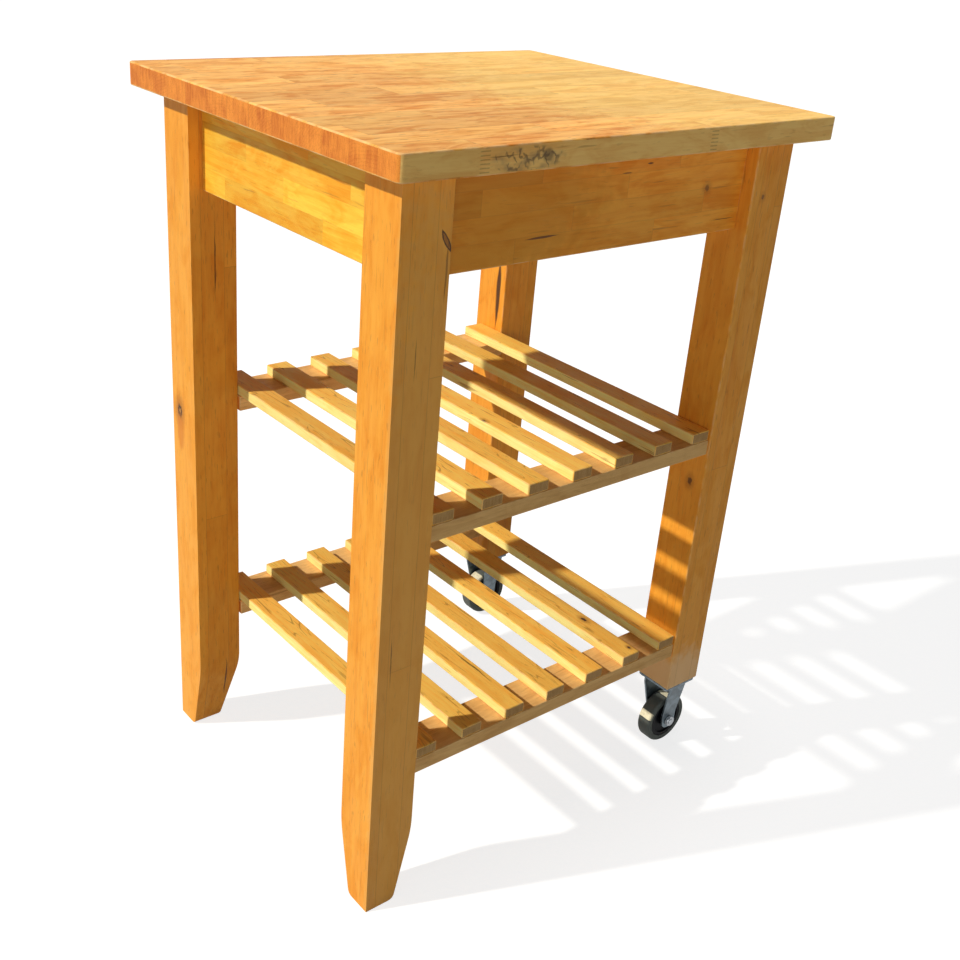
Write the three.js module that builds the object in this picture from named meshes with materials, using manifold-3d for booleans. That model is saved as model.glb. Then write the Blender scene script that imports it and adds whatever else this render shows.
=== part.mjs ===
// A butcher block kitchen cart: a glued stave top on four legs joined by aprons,
// two slatted shelves, and a fixed caster under each of the two shortened legs.
//
// Millimetres, +Z up. The origin is on the floor under the middle of the top.
// X runs along the long side, with the casters at +X. Y runs along the depth.
// What stands at a corner is built once, in the +X +Y quarter, and mirrored from there.

import * as THREE from 'three';
import { mergeVertices } from 'three/addons/utils/BufferGeometryUtils.js';
import Module from 'manifold-3d';

const wasm = await Module();
wasm.setup();

// ---------------------------------------------------------------- driving sizes

// Overall
const CART_LENGTH = 580;
const CART_DEPTH = 500;
const CART_HEIGHT = 850;

// Top
const TOP_THICKNESS = 25;
const TOP_CORNER_RADIUS = 6;
const TOP_ARRIS = 1.2;
const OVERHANG_X = 26;
const OVERHANG_Y = 30;

// Legs
const LEG_X = 57;
const LEG_Y = 55;
const LEG_ARRIS = 1.5;
const TAPER_HEIGHT = 108;
const TAPER_DEPTH = 20;
const TAPER_EASE = 30;
const FOOT_ROUNDING = 7;

// Aprons
const APRON_HEIGHT = 100;
const APRON_THICKNESS = 22;
const APRON_RECESS = 16;
const APRON_ARRIS = 1;
const APRON_TENON_LENGTH = 14;
const APRON_TENON_SIDE_SHOULDER = 6;
const APRON_TENON_END_SHOULDER = 12;

// Shelves
const UPPER_SHELF_HEIGHT = 487;
const LOWER_SHELF_HEIGHT = 199.5;
const SLATS_PER_SHELF = 7;
const SLAT_WIDTH = 28;
const SLAT_THICKNESS = 13;
const SLAT_ARRIS = 0.8;
const SLAT_SIDE_CLEARANCE = 1.7;
const SLAT_FRONT_SETBACK = 0.5;
const SLAT_BACK_SETBACK = 4;
const BATTEN_WIDTH = 52;
const BATTEN_THICKNESS = 18.5;
const BATTEN_ARRIS = 0.8;
const FRONT_BATTEN_RECESS = 2;
const BACK_BATTEN_RECESS = 8;
const BATTEN_TENON_LENGTH = 12;
const BATTEN_TENON_SIDE_SHOULDER = 8;
const BATTEN_TENON_FACE_SHOULDER = 4;

// Corner braces, each drawn up by a hanger bolt
const BRACE_THICKNESS = 2;
const BRACE_HEIGHT = 50;
const BRACE_DROP = 12;
const BRACE_STANDOFF = 6;
const BRACE_FLANGE_DEPTH = 8;
const HANGER_RADIUS = 3;
const HANGER_DEPTH = 34;
const HANGER_PROTRUSION = 3;
const HANGER_CHAMFER = 0.6;
const HANGER_POINT = 6;
const HANGER_NUT_FLATS = 10;
const HANGER_NUT_HEIGHT = 5;

// Screws that hold the top to the long aprons
const TOP_SCREW_RADIUS = 2;
const TOP_SCREW_HEAD_RADIUS = 4;
const TOP_SCREW_HEAD_HEIGHT = 3;
const TOP_SCREW_BITE = 15;
const TOP_SCREW_SEAT_DEPTH = 35;
const TOP_SCREW_FROM_LEG = 105;
const POCKET_RADIUS = 5.5;

// Casters
const CASTER_HEIGHT = 115;
const CASTER_TRAIL = 15;
const CASTER_SIDE_SHIFT = 10;
const PLATE_THICKNESS = 3;
const PLATE_CORNER_RADIUS = 6;
const PLATE_MARGIN = 1;
const CHEEK_THICKNESS = 2.5;
const CHEEK_BEND_RADIUS = 5;
const CHEEK_SEAT = 12;
const CHEEK_END_RADIUS = 12;
const FRONT_CHEEK_WIDTH = 28;
const FRONT_CHEEK_SHOULDER = 84;
const FRONT_CHEEK_SPLAY = 10.5;
const BACK_CHEEK_WIDTH = 39;
const BACK_CHEEK_SHOULDER = 92;
const BACK_CHEEK_SPLAY = 2;
const WHEEL_RADIUS = 35;
const TYRE_WIDTH = 20;
const TYRE_DEPTH = 8;
const TYRE_TREAD_FLAT = 13;
const TYRE_SHOULDER_DROP = 3.5;
const TYRE_SIDE_CLEARANCE = 1.75;
const RIM_SETBACK = 0.5;
const RIM_DEPTH = 4.7;
const WEB_SETBACK = 2.5;
const HUB_RADIUS = 11;
const HUB_END_CLEARANCE = 0.4;
const SLEEVE_RADIUS = 5.5;
const SLEEVE_WALL = 1.2;
const RUNNING_CLEARANCE = 0.06;
const AXLE_RADIUS = 4;
const AXLE_HEAD_FLATS = 13;
const AXLE_HEAD_HEIGHT = 4;
const AXLE_NUT_HEIGHT = 4.5;
const AXLE_PROTRUSION = 1.5;
const PLATE_SCREW_RADIUS = 2.2;
const PLATE_SCREW_HEAD_RADIUS = 4.2;
const PLATE_SCREW_HEAD_HEIGHT = 2.6;
const PLATE_SCREW_BITE = 28;
const PLATE_SCREW_INSET = 7;
const PLATE_SCREW_FROM_MIDDLE = 20;

// The end and head of every wood screw
const SCREW_POINT = 3;
const SCREW_HEAD_BEVEL = 0.8;

// Fits, how far a cutter overruns the faces it opens, and facets
const SEAT_GAP = 0.3;
const FIT_GAP = 0.3;
const OVERRUN = 1;
const SMALL_FACETS = 16;
const WHEEL_FACETS = 44;
const CURVE_FACETS = 4;

// ---------------------------------------------------------------- derived places

const topUnderside = CART_HEIGHT - TOP_THICKNESS;
const frameTop = topUnderside - SEAT_GAP;
const legOuterX = CART_LENGTH / 2 - OVERHANG_X;
const legOuterY = CART_DEPTH / 2 - OVERHANG_Y;
const legInnerX = legOuterX - LEG_X;
const legInnerY = legOuterY - LEG_Y;
const legCentreX = legOuterX - LEG_X / 2;
const legCentreY = legOuterY - LEG_Y / 2;

const apronBottom = frameTop - APRON_HEIGHT;
const longApronOuterY = legOuterY - APRON_RECESS;
const longApronInnerY = longApronOuterY - APRON_THICKNESS;
const shortApronOuterX = legOuterX - APRON_RECESS;
const shortApronInnerX = shortApronOuterX - APRON_THICKNESS;
const longApronCentreY = (longApronOuterY + longApronInnerY) / 2;
const shortApronCentreX = (shortApronOuterX + shortApronInnerX) / 2;
const apronTenonThickness = APRON_THICKNESS - 2 * APRON_TENON_SIDE_SHOULDER;
const apronTenonBottom = apronBottom + APRON_TENON_END_SHOULDER;
const apronTenonTop = frameTop - APRON_TENON_END_SHOULDER;

const shelfHeights = { upper: UPPER_SHELF_HEIGHT, lower: LOWER_SHELF_HEIGHT };
const battenOuterY = { front: legOuterY - FRONT_BATTEN_RECESS, back: legOuterY - BACK_BATTEN_RECESS };

const braceTop = frameTop - BRACE_DROP;
const braceCentre = braceTop - BRACE_HEIGHT / 2;
const braceNutFace = -BRACE_STANDOFF - BRACE_THICKNESS / 2 - SEAT_GAP;
const braceLine = legInnerX + legInnerY - BRACE_STANDOFF * Math.SQRT2;
const flangeX = braceLine - (longApronInnerY - BRACE_THICKNESS);
const flangeY = braceLine - (shortApronInnerX - BRACE_THICKNESS);
const kerfHalf = BRACE_THICKNESS / 2 + FIT_GAP;
const kerfReach = BRACE_FLANGE_DEPTH + FIT_GAP;

const topScrewX = legInnerX - TOP_SCREW_FROM_LEG;
const topScrewSeat = topUnderside - TOP_SCREW_SEAT_DEPTH;

const axleX = legCentreX + CASTER_TRAIL;
const axleY = CASTER_SIDE_SHIFT;
const axleZ = WHEEL_RADIUS;
const plateTop = CASTER_HEIGHT - SEAT_GAP;
const plateUnderside = plateTop - PLATE_THICKNESS;
const cheekInner = TYRE_WIDTH / 2 + TYRE_SIDE_CLEARANCE;
const cheekOuter = cheekInner + CHEEK_THICKNESS;
const tyreInnerRadius = WHEEL_RADIUS - TYRE_DEPTH;
const plateScrewPlaces = [
  [legInnerX + PLATE_SCREW_INSET, -PLATE_SCREW_FROM_MIDDLE],
  [legInnerX + PLATE_SCREW_INSET, PLATE_SCREW_FROM_MIDDLE],
];

// The four corners, by the signs that mirror the +X +Y quarter to them.
const quarters = [
  { side: 'front', end: 'left', signX: -1, signY: -1 },
  { side: 'back', end: 'left', signX: -1, signY: 1 },
  { side: 'front', end: 'right', signX: 1, signY: -1 },
  { side: 'back', end: 'right', signX: 1, signY: 1 },
];

// ---------------------------------------------------------------- materials

function material(color, roughness, metalness) {
  return new THREE.MeshStandardMaterial({ color, roughness, metalness });
}
const topWood = material(0xe3ab5c, 0.45, 0);
const frameWood = material(0xd9a050, 0.5, 0);
const slatWood = material(0xe6b566, 0.5, 0);
const zincSteel = material(0x8f979c, 0.35, 0.9);
const darkSteel = material(0x6f7478, 0.4, 0.9);
const greyRubber = material(0x45484a, 0.8, 0);
const blackPlastic = material(0x16171a, 0.45, 0);

// ---------------------------------------------------------------- shaping helpers

const cart = new THREE.Group();

function addPiece(name, geometry, pieceMaterial) {
  const mesh = new THREE.Mesh(geometry, pieceMaterial);
  mesh.name = name;
  cart.add(mesh);
}

// A closed geometry with its shared vertices merged.
function welded(geometry) {
  geometry.deleteAttribute('normal');
  geometry.deleteAttribute('uv');
  return mergeVertices(geometry, 1e-4);
}

function toSolid(geometry) {
  const closed = welded(geometry.clone());
  const vertProperties = new Float32Array(closed.attributes.position.array);
  const triVerts = new Uint32Array(closed.index.array);
  return new wasm.Manifold(new wasm.Mesh({ numProp: 3, vertProperties, triVerts }));
}

function toGeometry(solid) {
  const mesh = solid.getMesh();
  const geometry = new THREE.BufferGeometry();
  geometry.setAttribute('position', new THREE.BufferAttribute(mesh.vertProperties, 3));
  geometry.setIndex(new THREE.BufferAttribute(mesh.triVerts, 1));
  return geometry;
}

// The body with pieces added to it and others cut from it.
function carve(body, { add = [], cut = [] }) {
  let solid = toSolid(body);
  for (const piece of add) solid = solid.add(toSolid(piece));
  for (const piece of cut) solid = solid.subtract(toSolid(piece));
  return toGeometry(solid);
}

// A geometry built in the +X +Y quarter, mirrored to the quarter with these signs.
function mirrored(geometry, signX, signY) {
  const copy = welded(geometry.clone());
  copy.scale(signX, signY, 1);
  if (signX * signY < 0) {
    const index = copy.index.array;
    for (let i = 0; i < index.length; i += 3) [index[i], index[i + 1]] = [index[i + 1], index[i]];
  }
  return copy;
}

// A box between two corners.
function block([x0, y0, z0], [x1, y1, z1]) {
  const geometry = new THREE.BoxGeometry(x1 - x0, y1 - y0, z1 - z0);
  return geometry.translate((x0 + x1) / 2, (y0 + y1) / 2, (z0 + z1) / 2);
}

function extrude(shape, depth) {
  return new THREE.ExtrudeGeometry(shape, { depth, bevelEnabled: false, curveSegments: CURVE_FACETS });
}

// Extrusions whose shape is drawn in the named plane and which run along the third axis.
const alongZ = (shape, z0, z1) => extrude(shape, z1 - z0).translate(0, 0, z0);
const alongY = (shapeXZ, y0, y1) => extrude(shapeXZ, y1 - y0).rotateX(Math.PI / 2).translate(0, y1, 0);
function alongX(shapeYZ, x0, x1) {
  const axes = new THREE.Matrix4().set(0, 0, 1, 0, 1, 0, 0, 0, 0, 1, 0, 0, 0, 0, 0, 1);
  return extrude(shapeYZ, x1 - x0).applyMatrix4(axes).translate(x0, 0, 0);
}

function polygon(points) {
  return new THREE.Shape(points.map(([a, b]) => new THREE.Vector2(a, b)));
}

// A rectangle with its corners cut off by the arris.
function barSection(a0, a1, b0, b1, arris) {
  return polygon([
    [a0 + arris, b0], [a1 - arris, b0], [a1, b0 + arris], [a1, b1 - arris],
    [a1 - arris, b1], [a0 + arris, b1], [a0, b1 - arris], [a0, b0 + arris],
  ]);
}

function roundedRectangle(halfX, halfY, radius, centreX = 0, centreY = 0) {
  const shape = new THREE.Shape();
  shape.absarc(centreX + halfX - radius, centreY + halfY - radius, radius, 0, Math.PI / 2);
  shape.absarc(centreX - halfX + radius, centreY + halfY - radius, radius, Math.PI / 2, Math.PI);
  shape.absarc(centreX - halfX + radius, centreY - halfY + radius, radius, Math.PI, 1.5 * Math.PI);
  shape.absarc(centreX + halfX - radius, centreY - halfY + radius, radius, 1.5 * Math.PI, 2 * Math.PI);
  return shape;
}

// A strip of even thickness along a path, with mitred bends.
function stripOutline(path, thickness) {
  const points = path.map(([a, b]) => new THREE.Vector2(a, b));
  const runs = points.slice(1).map((point, i) => point.clone().sub(points[i]).normalize());
  const offsets = points.map((_, i) => {
    const before = runs[Math.max(i - 1, 0)];
    const after = runs[Math.min(i, runs.length - 1)];
    const middle = before.clone().add(after).normalize();
    const side = new THREE.Vector2(-middle.y, middle.x);
    return side.multiplyScalar(thickness / 2 / middle.dot(after));
  });
  const left = points.map((point, i) => point.clone().add(offsets[i]));
  const right = points.map((point, i) => point.clone().sub(offsets[i]));
  return new THREE.Shape([...right, ...left.reverse()]);
}

// An upright rod from z0 to z1.
function rod(radius, z0, z1, x = 0, y = 0) {
  const geometry = new THREE.CylinderGeometry(radius, radius, z1 - z0, SMALL_FACETS);
  return geometry.rotateX(Math.PI / 2).translate(x, y, (z0 + z1) / 2);
}

// A screw that points up: a head from z0, then a shank to z1 with a short point.
function screw(headRadius, headHeight, radius, z0, z1) {
  const neck = z0 + headHeight;
  const profile = [
    [0, z0], [headRadius - SCREW_HEAD_BEVEL, z0], [headRadius, z0 + SCREW_HEAD_BEVEL], [headRadius, neck],
    [radius, neck], [radius, z1 - SCREW_POINT], [0, z1],
  ];
  return turned(profile, SMALL_FACETS);
}

// A solid of revolution about +Z from radius and height pairs.
function turned(profile, facets) {
  const points = profile.map(([radius, height]) => new THREE.Vector2(radius, height));
  return new THREE.LatheGeometry(points, facets).rotateX(Math.PI / 2);
}

// A hexagonal prism, measured across its flats, with an optional round bore.
function hexagon(flats, z0, z1, bore = 0) {
  const reach = flats / Math.sqrt(3);
  const corners = Array.from({ length: 6 }, (_, i) => (i * Math.PI) / 3);
  const shape = polygon(corners.map((angle) => [reach * Math.cos(angle), reach * Math.sin(angle)]));
  if (bore > 0) {
    const hole = Array.from({ length: SMALL_FACETS }, (_, i) => {
      const angle = (-2 * Math.PI * i) / SMALL_FACETS;
      return new THREE.Vector2(bore * Math.cos(angle), bore * Math.sin(angle));
    });
    shape.holes.push(new THREE.Path(hole));
  }
  return alongZ(shape, z0, z1);
}

// ---------------------------------------------------------------- top

function topSlab() {
  const shape = roundedRectangle(CART_LENGTH / 2, CART_DEPTH / 2, TOP_CORNER_RADIUS);
  const slab = new THREE.ExtrudeGeometry(shape, {
    depth: TOP_THICKNESS - 2 * TOP_ARRIS,
    bevelThickness: TOP_ARRIS,
    bevelSize: TOP_ARRIS,
    bevelOffset: -TOP_ARRIS,
    bevelSegments: 1,
    curveSegments: CURVE_FACETS,
  }).translate(0, 0, topUnderside + TOP_ARRIS);
  const holeRadius = TOP_SCREW_RADIUS + FIT_GAP;
  const holeTop = topUnderside + TOP_SCREW_BITE + FIT_GAP;
  const hole = rod(holeRadius, topUnderside - OVERRUN, holeTop, topScrewX, longApronCentreY);
  return carve(slab, { cut: quarters.map(({ signX, signY }) => mirrored(hole, signX, signY)) });
}

// ---------------------------------------------------------------- legs

// What the taper takes off an inner face near the floor: an eased start, a straight
// run and a rounded toe. The first coordinate is the depth in from the inner face.
function taperCutter(innerFace) {
  const straightTop = TAPER_HEIGHT - TAPER_EASE / 2;
  const depthAt = (z) => TAPER_DEPTH * (1 - z / straightTop);
  const easeEnd = TAPER_HEIGHT - TAPER_EASE;
  const shape = new THREE.Shape();
  shape.moveTo(innerFace, TAPER_HEIGHT);
  shape.quadraticCurveTo(innerFace, straightTop, innerFace + depthAt(easeEnd), easeEnd);
  shape.lineTo(innerFace + depthAt(FOOT_ROUNDING), FOOT_ROUNDING);
  shape.quadraticCurveTo(innerFace + TAPER_DEPTH, 0, innerFace + TAPER_DEPTH + FOOT_ROUNDING, 0);
  shape.lineTo(innerFace + TAPER_DEPTH + FOOT_ROUNDING, -OVERRUN);
  shape.lineTo(innerFace - OVERRUN, -OVERRUN);
  shape.lineTo(innerFace - OVERRUN, TAPER_HEIGHT);
  return shape;
}

// The stretch of Y that a batten shares with the leg at its end, inside the shoulders.
function battenTenonY(side) {
  const outer = battenOuterY[side];
  const inner = outer - BATTEN_WIDTH;
  return [
    Math.max(inner, legInnerY) + BATTEN_TENON_SIDE_SHOULDER,
    Math.min(outer, legOuterY) - BATTEN_TENON_SIDE_SHOULDER,
  ];
}

function battenTenonZ(shelfHeight) {
  const battenTop = shelfHeight - SLAT_THICKNESS - SEAT_GAP;
  return [battenTop - BATTEN_THICKNESS + BATTEN_TENON_FACE_SHOULDER, battenTop - BATTEN_TENON_FACE_SHOULDER];
}

function legMortises(side) {
  const apronReach = APRON_TENON_LENGTH + FIT_GAP;
  const apronHalf = apronTenonThickness / 2 + FIT_GAP;
  const mortises = [
    block(
      [legInnerX - OVERRUN, longApronCentreY - apronHalf, apronTenonBottom - FIT_GAP],
      [legInnerX + apronReach, longApronCentreY + apronHalf, apronTenonTop + FIT_GAP],
    ),
    block(
      [shortApronCentreX - apronHalf, legInnerY - OVERRUN, apronTenonBottom - FIT_GAP],
      [shortApronCentreX + apronHalf, legInnerY + apronReach, apronTenonTop + FIT_GAP],
    ),
  ];
  const [y0, y1] = battenTenonY(side);
  for (const shelfHeight of Object.values(shelfHeights)) {
    const [z0, z1] = battenTenonZ(shelfHeight);
    mortises.push(block(
      [legInnerX - OVERRUN, y0 - FIT_GAP, z0 - FIT_GAP],
      [legInnerX + BATTEN_TENON_LENGTH + FIT_GAP, y1 + FIT_GAP, z1 + FIT_GAP],
    ));
  }
  return mortises;
}

// A geometry along +Z laid on the line that runs level and diagonally into the leg,
// with its zero at the leg's inner corner.
function onHangerLine(geometry) {
  const inward = new THREE.Vector3(1, 1, 0).normalize();
  const turn = new THREE.Quaternion().setFromUnitVectors(new THREE.Vector3(0, 0, 1), inward);
  return geometry.applyQuaternion(turn).translate(legInnerX, legInnerY, braceCentre);
}

function leg(side, onCaster) {
  const foot = onCaster ? CASTER_HEIGHT : 0;
  const section = barSection(legInnerX, legOuterX, legInnerY, legOuterY, LEG_ARRIS);
  const cuts = legMortises(side);
  cuts.push(onHangerLine(rod(HANGER_RADIUS + FIT_GAP, -BRACE_STANDOFF, HANGER_DEPTH + FIT_GAP)));
  if (onCaster) {
    for (const [x, y] of plateScrewPlaces) {
      const end = foot + PLATE_SCREW_BITE + FIT_GAP;
      cuts.push(rod(PLATE_SCREW_RADIUS + FIT_GAP, foot - OVERRUN, end, x, legCentreY + y));
    }
  } else {
    cuts.push(alongY(taperCutter(legInnerX), legInnerY - OVERRUN, legOuterY + OVERRUN));
    cuts.push(alongX(taperCutter(legInnerY), legInnerX - OVERRUN, legOuterX + OVERRUN));
  }
  return carve(alongZ(section, foot, frameTop), { cut: cuts });
}

// ---------------------------------------------------------------- aprons

// The flange of each brace stands in a saw kerf that is open at the apron's top edge.
function longApron() {
  const end = legInnerX - SEAT_GAP;
  const section = barSection(longApronInnerY, longApronOuterY, apronBottom, frameTop, APRON_ARRIS);
  const tenonHalf = apronTenonThickness / 2;
  const tenon = block(
    [-legInnerX - APRON_TENON_LENGTH, longApronCentreY - tenonHalf, apronTenonBottom],
    [legInnerX + APRON_TENON_LENGTH, longApronCentreY + tenonHalf, apronTenonTop],
  );
  const cuts = [];
  for (const sign of [-1, 1]) {
    const kerf = block(
      [flangeX - kerfHalf, longApronInnerY - OVERRUN, braceTop - BRACE_HEIGHT - FIT_GAP],
      [flangeX + kerfHalf, longApronInnerY + kerfReach, frameTop + OVERRUN],
    );
    const pocket = rod(POCKET_RADIUS, apronBottom - OVERRUN, topScrewSeat, topScrewX, longApronCentreY);
    const holeRadius = TOP_SCREW_RADIUS + FIT_GAP;
    const hole = rod(holeRadius, topScrewSeat - OVERRUN, frameTop + OVERRUN, topScrewX, longApronCentreY);
    cuts.push(...[kerf, pocket, hole].map((cut) => mirrored(cut, sign, 1)));
  }
  return carve(alongX(section, -end, end), { add: [tenon], cut: cuts });
}

function shortApron() {
  const end = legInnerY - SEAT_GAP;
  const section = barSection(shortApronInnerX, shortApronOuterX, apronBottom, frameTop, APRON_ARRIS);
  const tenonHalf = apronTenonThickness / 2;
  const tenon = block(
    [shortApronCentreX - tenonHalf, -legInnerY - APRON_TENON_LENGTH, apronTenonBottom],
    [shortApronCentreX + tenonHalf, legInnerY + APRON_TENON_LENGTH, apronTenonTop],
  );
  const kerfs = [-1, 1].map((sign) => mirrored(block(
    [shortApronInnerX - OVERRUN, flangeY - kerfHalf, braceTop - BRACE_HEIGHT - FIT_GAP],
    [shortApronInnerX + kerfReach, flangeY + kerfHalf, frameTop + OVERRUN],
  ), 1, sign));
  return carve(alongY(section, -end, end), { add: [tenon], cut: kerfs });
}

// ---------------------------------------------------------------- corner braces

function cornerBrace() {
  const outline = stripOutline([
    [flangeX, longApronInnerY + BRACE_FLANGE_DEPTH],
    [flangeX, longApronInnerY - BRACE_THICKNESS],
    [shortApronInnerX - BRACE_THICKNESS, flangeY],
    [shortApronInnerX + BRACE_FLANGE_DEPTH, flangeY],
  ], BRACE_THICKNESS);
  const holeStart = -BRACE_STANDOFF - BRACE_THICKNESS / 2 - OVERRUN;
  const holeEnd = -BRACE_STANDOFF + BRACE_THICKNESS / 2 + OVERRUN;
  const hole = onHangerLine(rod(HANGER_RADIUS + FIT_GAP, holeStart, holeEnd));
  return carve(alongZ(outline, braceTop - BRACE_HEIGHT, braceTop), { cut: [hole] });
}

function hangerBolt() {
  const inner = braceNutFace - HANGER_NUT_HEIGHT - HANGER_PROTRUSION;
  const profile = [
    [0, inner], [HANGER_RADIUS - HANGER_CHAMFER, inner], [HANGER_RADIUS, inner + HANGER_CHAMFER],
    [HANGER_RADIUS, HANGER_DEPTH - HANGER_POINT], [0, HANGER_DEPTH],
  ];
  return onHangerLine(turned(profile, SMALL_FACETS));
}

function hangerNut() {
  const bore = HANGER_RADIUS + FIT_GAP;
  return onHangerLine(hexagon(HANGER_NUT_FLATS, braceNutFace - HANGER_NUT_HEIGHT, braceNutFace, bore));
}

// ---------------------------------------------------------------- shelves

function batten(side, shelfHeight) {
  const top = shelfHeight - SLAT_THICKNESS - SEAT_GAP;
  const outer = battenOuterY[side];
  const end = legInnerX - SEAT_GAP;
  const section = barSection(outer - BATTEN_WIDTH, outer, top - BATTEN_THICKNESS, top, BATTEN_ARRIS);
  const [y0, y1] = battenTenonY(side);
  const [z0, z1] = battenTenonZ(shelfHeight);
  const reach = legInnerX + BATTEN_TENON_LENGTH;
  return carve(alongX(section, -end, end), { add: [block([-reach, y0, z0], [reach, y1, z1])] });
}

function slat(shelfHeight, number) {
  const reach = legInnerX - SLAT_SIDE_CLEARANCE;
  const pitch = (2 * reach - SLAT_WIDTH) / (SLATS_PER_SHELF - 1);
  const left = -reach + number * pitch;
  const bottom = shelfHeight - SLAT_THICKNESS;
  const section = barSection(left, left + SLAT_WIDTH, bottom, shelfHeight, SLAT_ARRIS);
  return alongY(section, -battenOuterY.front + SLAT_FRONT_SETBACK, battenOuterY.back - SLAT_BACK_SETBACK);
}

// ---------------------------------------------------------------- casters

// Every piece of a caster is made about the middle of its leg, with Y at zero there.
// This lays a geometry made along +Z on the axle's line, with its zero midway
// between the cheeks.
function onAxle(geometry) {
  return geometry.rotateX(-Math.PI / 2).translate(axleX, axleY, axleZ);
}

// One cheek from the side, with X across: a straight trailing edge, a leading edge
// that slants in below its shoulder, and a round end about the axle.
function cheekSide(width, shoulder) {
  const outerX = legOuterX - PLATE_MARGIN;
  const innerX = outerX - width;
  const shape = new THREE.Shape();
  shape.moveTo(innerX, plateTop);
  shape.lineTo(innerX, shoulder);
  shape.lineTo(axleX - CHEEK_END_RADIUS, axleZ);
  for (let step = 1; step <= 2 * CURVE_FACETS; step++) {
    const angle = Math.PI * (1 + step / (2 * CURVE_FACETS));
    shape.lineTo(axleX + CHEEK_END_RADIUS * Math.cos(angle), axleZ + CHEEK_END_RADIUS * Math.sin(angle));
  }
  shape.lineTo(outerX, axleZ + CHEEK_SEAT);
  shape.lineTo(outerX, plateTop);
  return shape;
}

// The end view of the fork, an upside-down U with rounded bends whose cheeks run
// straight at the axle and lean outward from there to the bends.
function forkSection() {
  const inside = CHEEK_BEND_RADIUS - CHEEK_THICKNESS;
  const bendHeight = plateUnderside - CHEEK_BEND_RADIUS;
  const seatTop = axleZ + CHEEK_SEAT;
  const frontTop = axleY - cheekOuter - FRONT_CHEEK_SPLAY;
  const backTop = axleY + cheekOuter + BACK_CHEEK_SPLAY;
  const shape = new THREE.Shape();
  shape.moveTo(axleY - cheekOuter, 0);
  shape.lineTo(axleY - cheekInner, 0);
  shape.lineTo(axleY - cheekInner, seatTop);
  shape.absarc(frontTop + CHEEK_BEND_RADIUS, bendHeight, inside, Math.PI, Math.PI / 2, true);
  shape.absarc(backTop - CHEEK_BEND_RADIUS, bendHeight, inside, Math.PI / 2, 0, true);
  shape.lineTo(axleY + cheekInner, seatTop);
  shape.lineTo(axleY + cheekInner, 0);
  shape.lineTo(axleY + cheekOuter, 0);
  shape.lineTo(axleY + cheekOuter, seatTop);
  shape.absarc(backTop - CHEEK_BEND_RADIUS, bendHeight, CHEEK_BEND_RADIUS, 0, Math.PI / 2);
  shape.absarc(frontTop + CHEEK_BEND_RADIUS, bendHeight, CHEEK_BEND_RADIUS, Math.PI / 2, Math.PI);
  shape.lineTo(axleY - cheekOuter, seatTop);
  return shape;
}

function casterBracket() {
  const halfX = LEG_X / 2 - PLATE_MARGIN;
  const halfY = LEG_Y / 2 - PLATE_MARGIN;
  const plate = roundedRectangle(halfX, halfY, PLATE_CORNER_RADIUS, legCentreX, 0);
  const frontSide = cheekSide(FRONT_CHEEK_WIDTH, FRONT_CHEEK_SHOULDER);
  const backSide = cheekSide(BACK_CHEEK_WIDTH, BACK_CHEEK_SHOULDER);
  const outline = toSolid(alongY(frontSide, -LEG_Y, axleY)).add(toSolid(alongY(backSide, axleY, LEG_Y)));
  const fork = toGeometry(toSolid(alongX(forkSection(), legInnerX, legOuterX)).intersect(outline));
  const cuts = [onAxle(rod(AXLE_RADIUS + FIT_GAP, -cheekOuter - OVERRUN, cheekOuter + OVERRUN))];
  for (const [x, y] of plateScrewPlaces) {
    cuts.push(rod(PLATE_SCREW_RADIUS + FIT_GAP, plateUnderside - OVERRUN, plateTop + OVERRUN, x, y));
  }
  return carve(alongZ(plate, plateUnderside, plateTop), { add: [fork], cut: cuts });
}

// Half of the tyre's section runs from its seat over the shoulder to the middle of
// the tread, and the other half mirrors it.
function casterTyre() {
  const half = TYRE_WIDTH / 2;
  const flat = TYRE_TREAD_FLAT / 2;
  const shoulder = [];
  for (let step = 0; step <= CURVE_FACETS; step++) {
    const angle = (Math.PI / 2) * (step / CURVE_FACETS);
    shoulder.push([
      WHEEL_RADIUS - TYRE_SHOULDER_DROP * (1 - Math.sin(angle)),
      flat + (half - flat) * Math.cos(angle),
    ]);
  }
  const outer = [[tyreInnerRadius, half], ...shoulder];
  const inner = outer.map(([radius, along]) => [radius, -along]);
  return onAxle(turned([...inner, ...outer.reverse(), inner[0]], WHEEL_FACETS));
}

// The moulded wheel: rim, recessed web and a longer hub on a running bore.
function casterWheel() {
  const hubHalf = cheekInner - HUB_END_CLEARANCE;
  const rimHalf = TYRE_WIDTH / 2 - RIM_SETBACK;
  const webHalf = TYRE_WIDTH / 2 - WEB_SETBACK;
  const rimOuter = tyreInnerRadius - FIT_GAP;
  const rimInner = rimOuter - RIM_DEPTH;
  const bore = (SLEEVE_RADIUS + RUNNING_CLEARANCE) / Math.cos(Math.PI / WHEEL_FACETS);
  const half = [
    [bore, hubHalf], [HUB_RADIUS, hubHalf], [HUB_RADIUS, webHalf],
    [rimInner, webHalf], [rimInner, rimHalf], [rimOuter, rimHalf],
  ];
  const other = half.map(([radius, along]) => [radius, -along]);
  return onAxle(turned([...other, ...half.reverse(), other[0]], WHEEL_FACETS));
}

// The steel sleeve that the bolt clamps between the cheeks and the wheel turns on.
function axleSleeve() {
  const half = cheekInner - SEAT_GAP;
  const bore = SLEEVE_RADIUS - SLEEVE_WALL;
  const loop = [[bore, -half], [SLEEVE_RADIUS, -half], [SLEEVE_RADIUS, half], [bore, half]];
  return onAxle(turned([...loop, loop[0]], WHEEL_FACETS));
}

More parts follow.
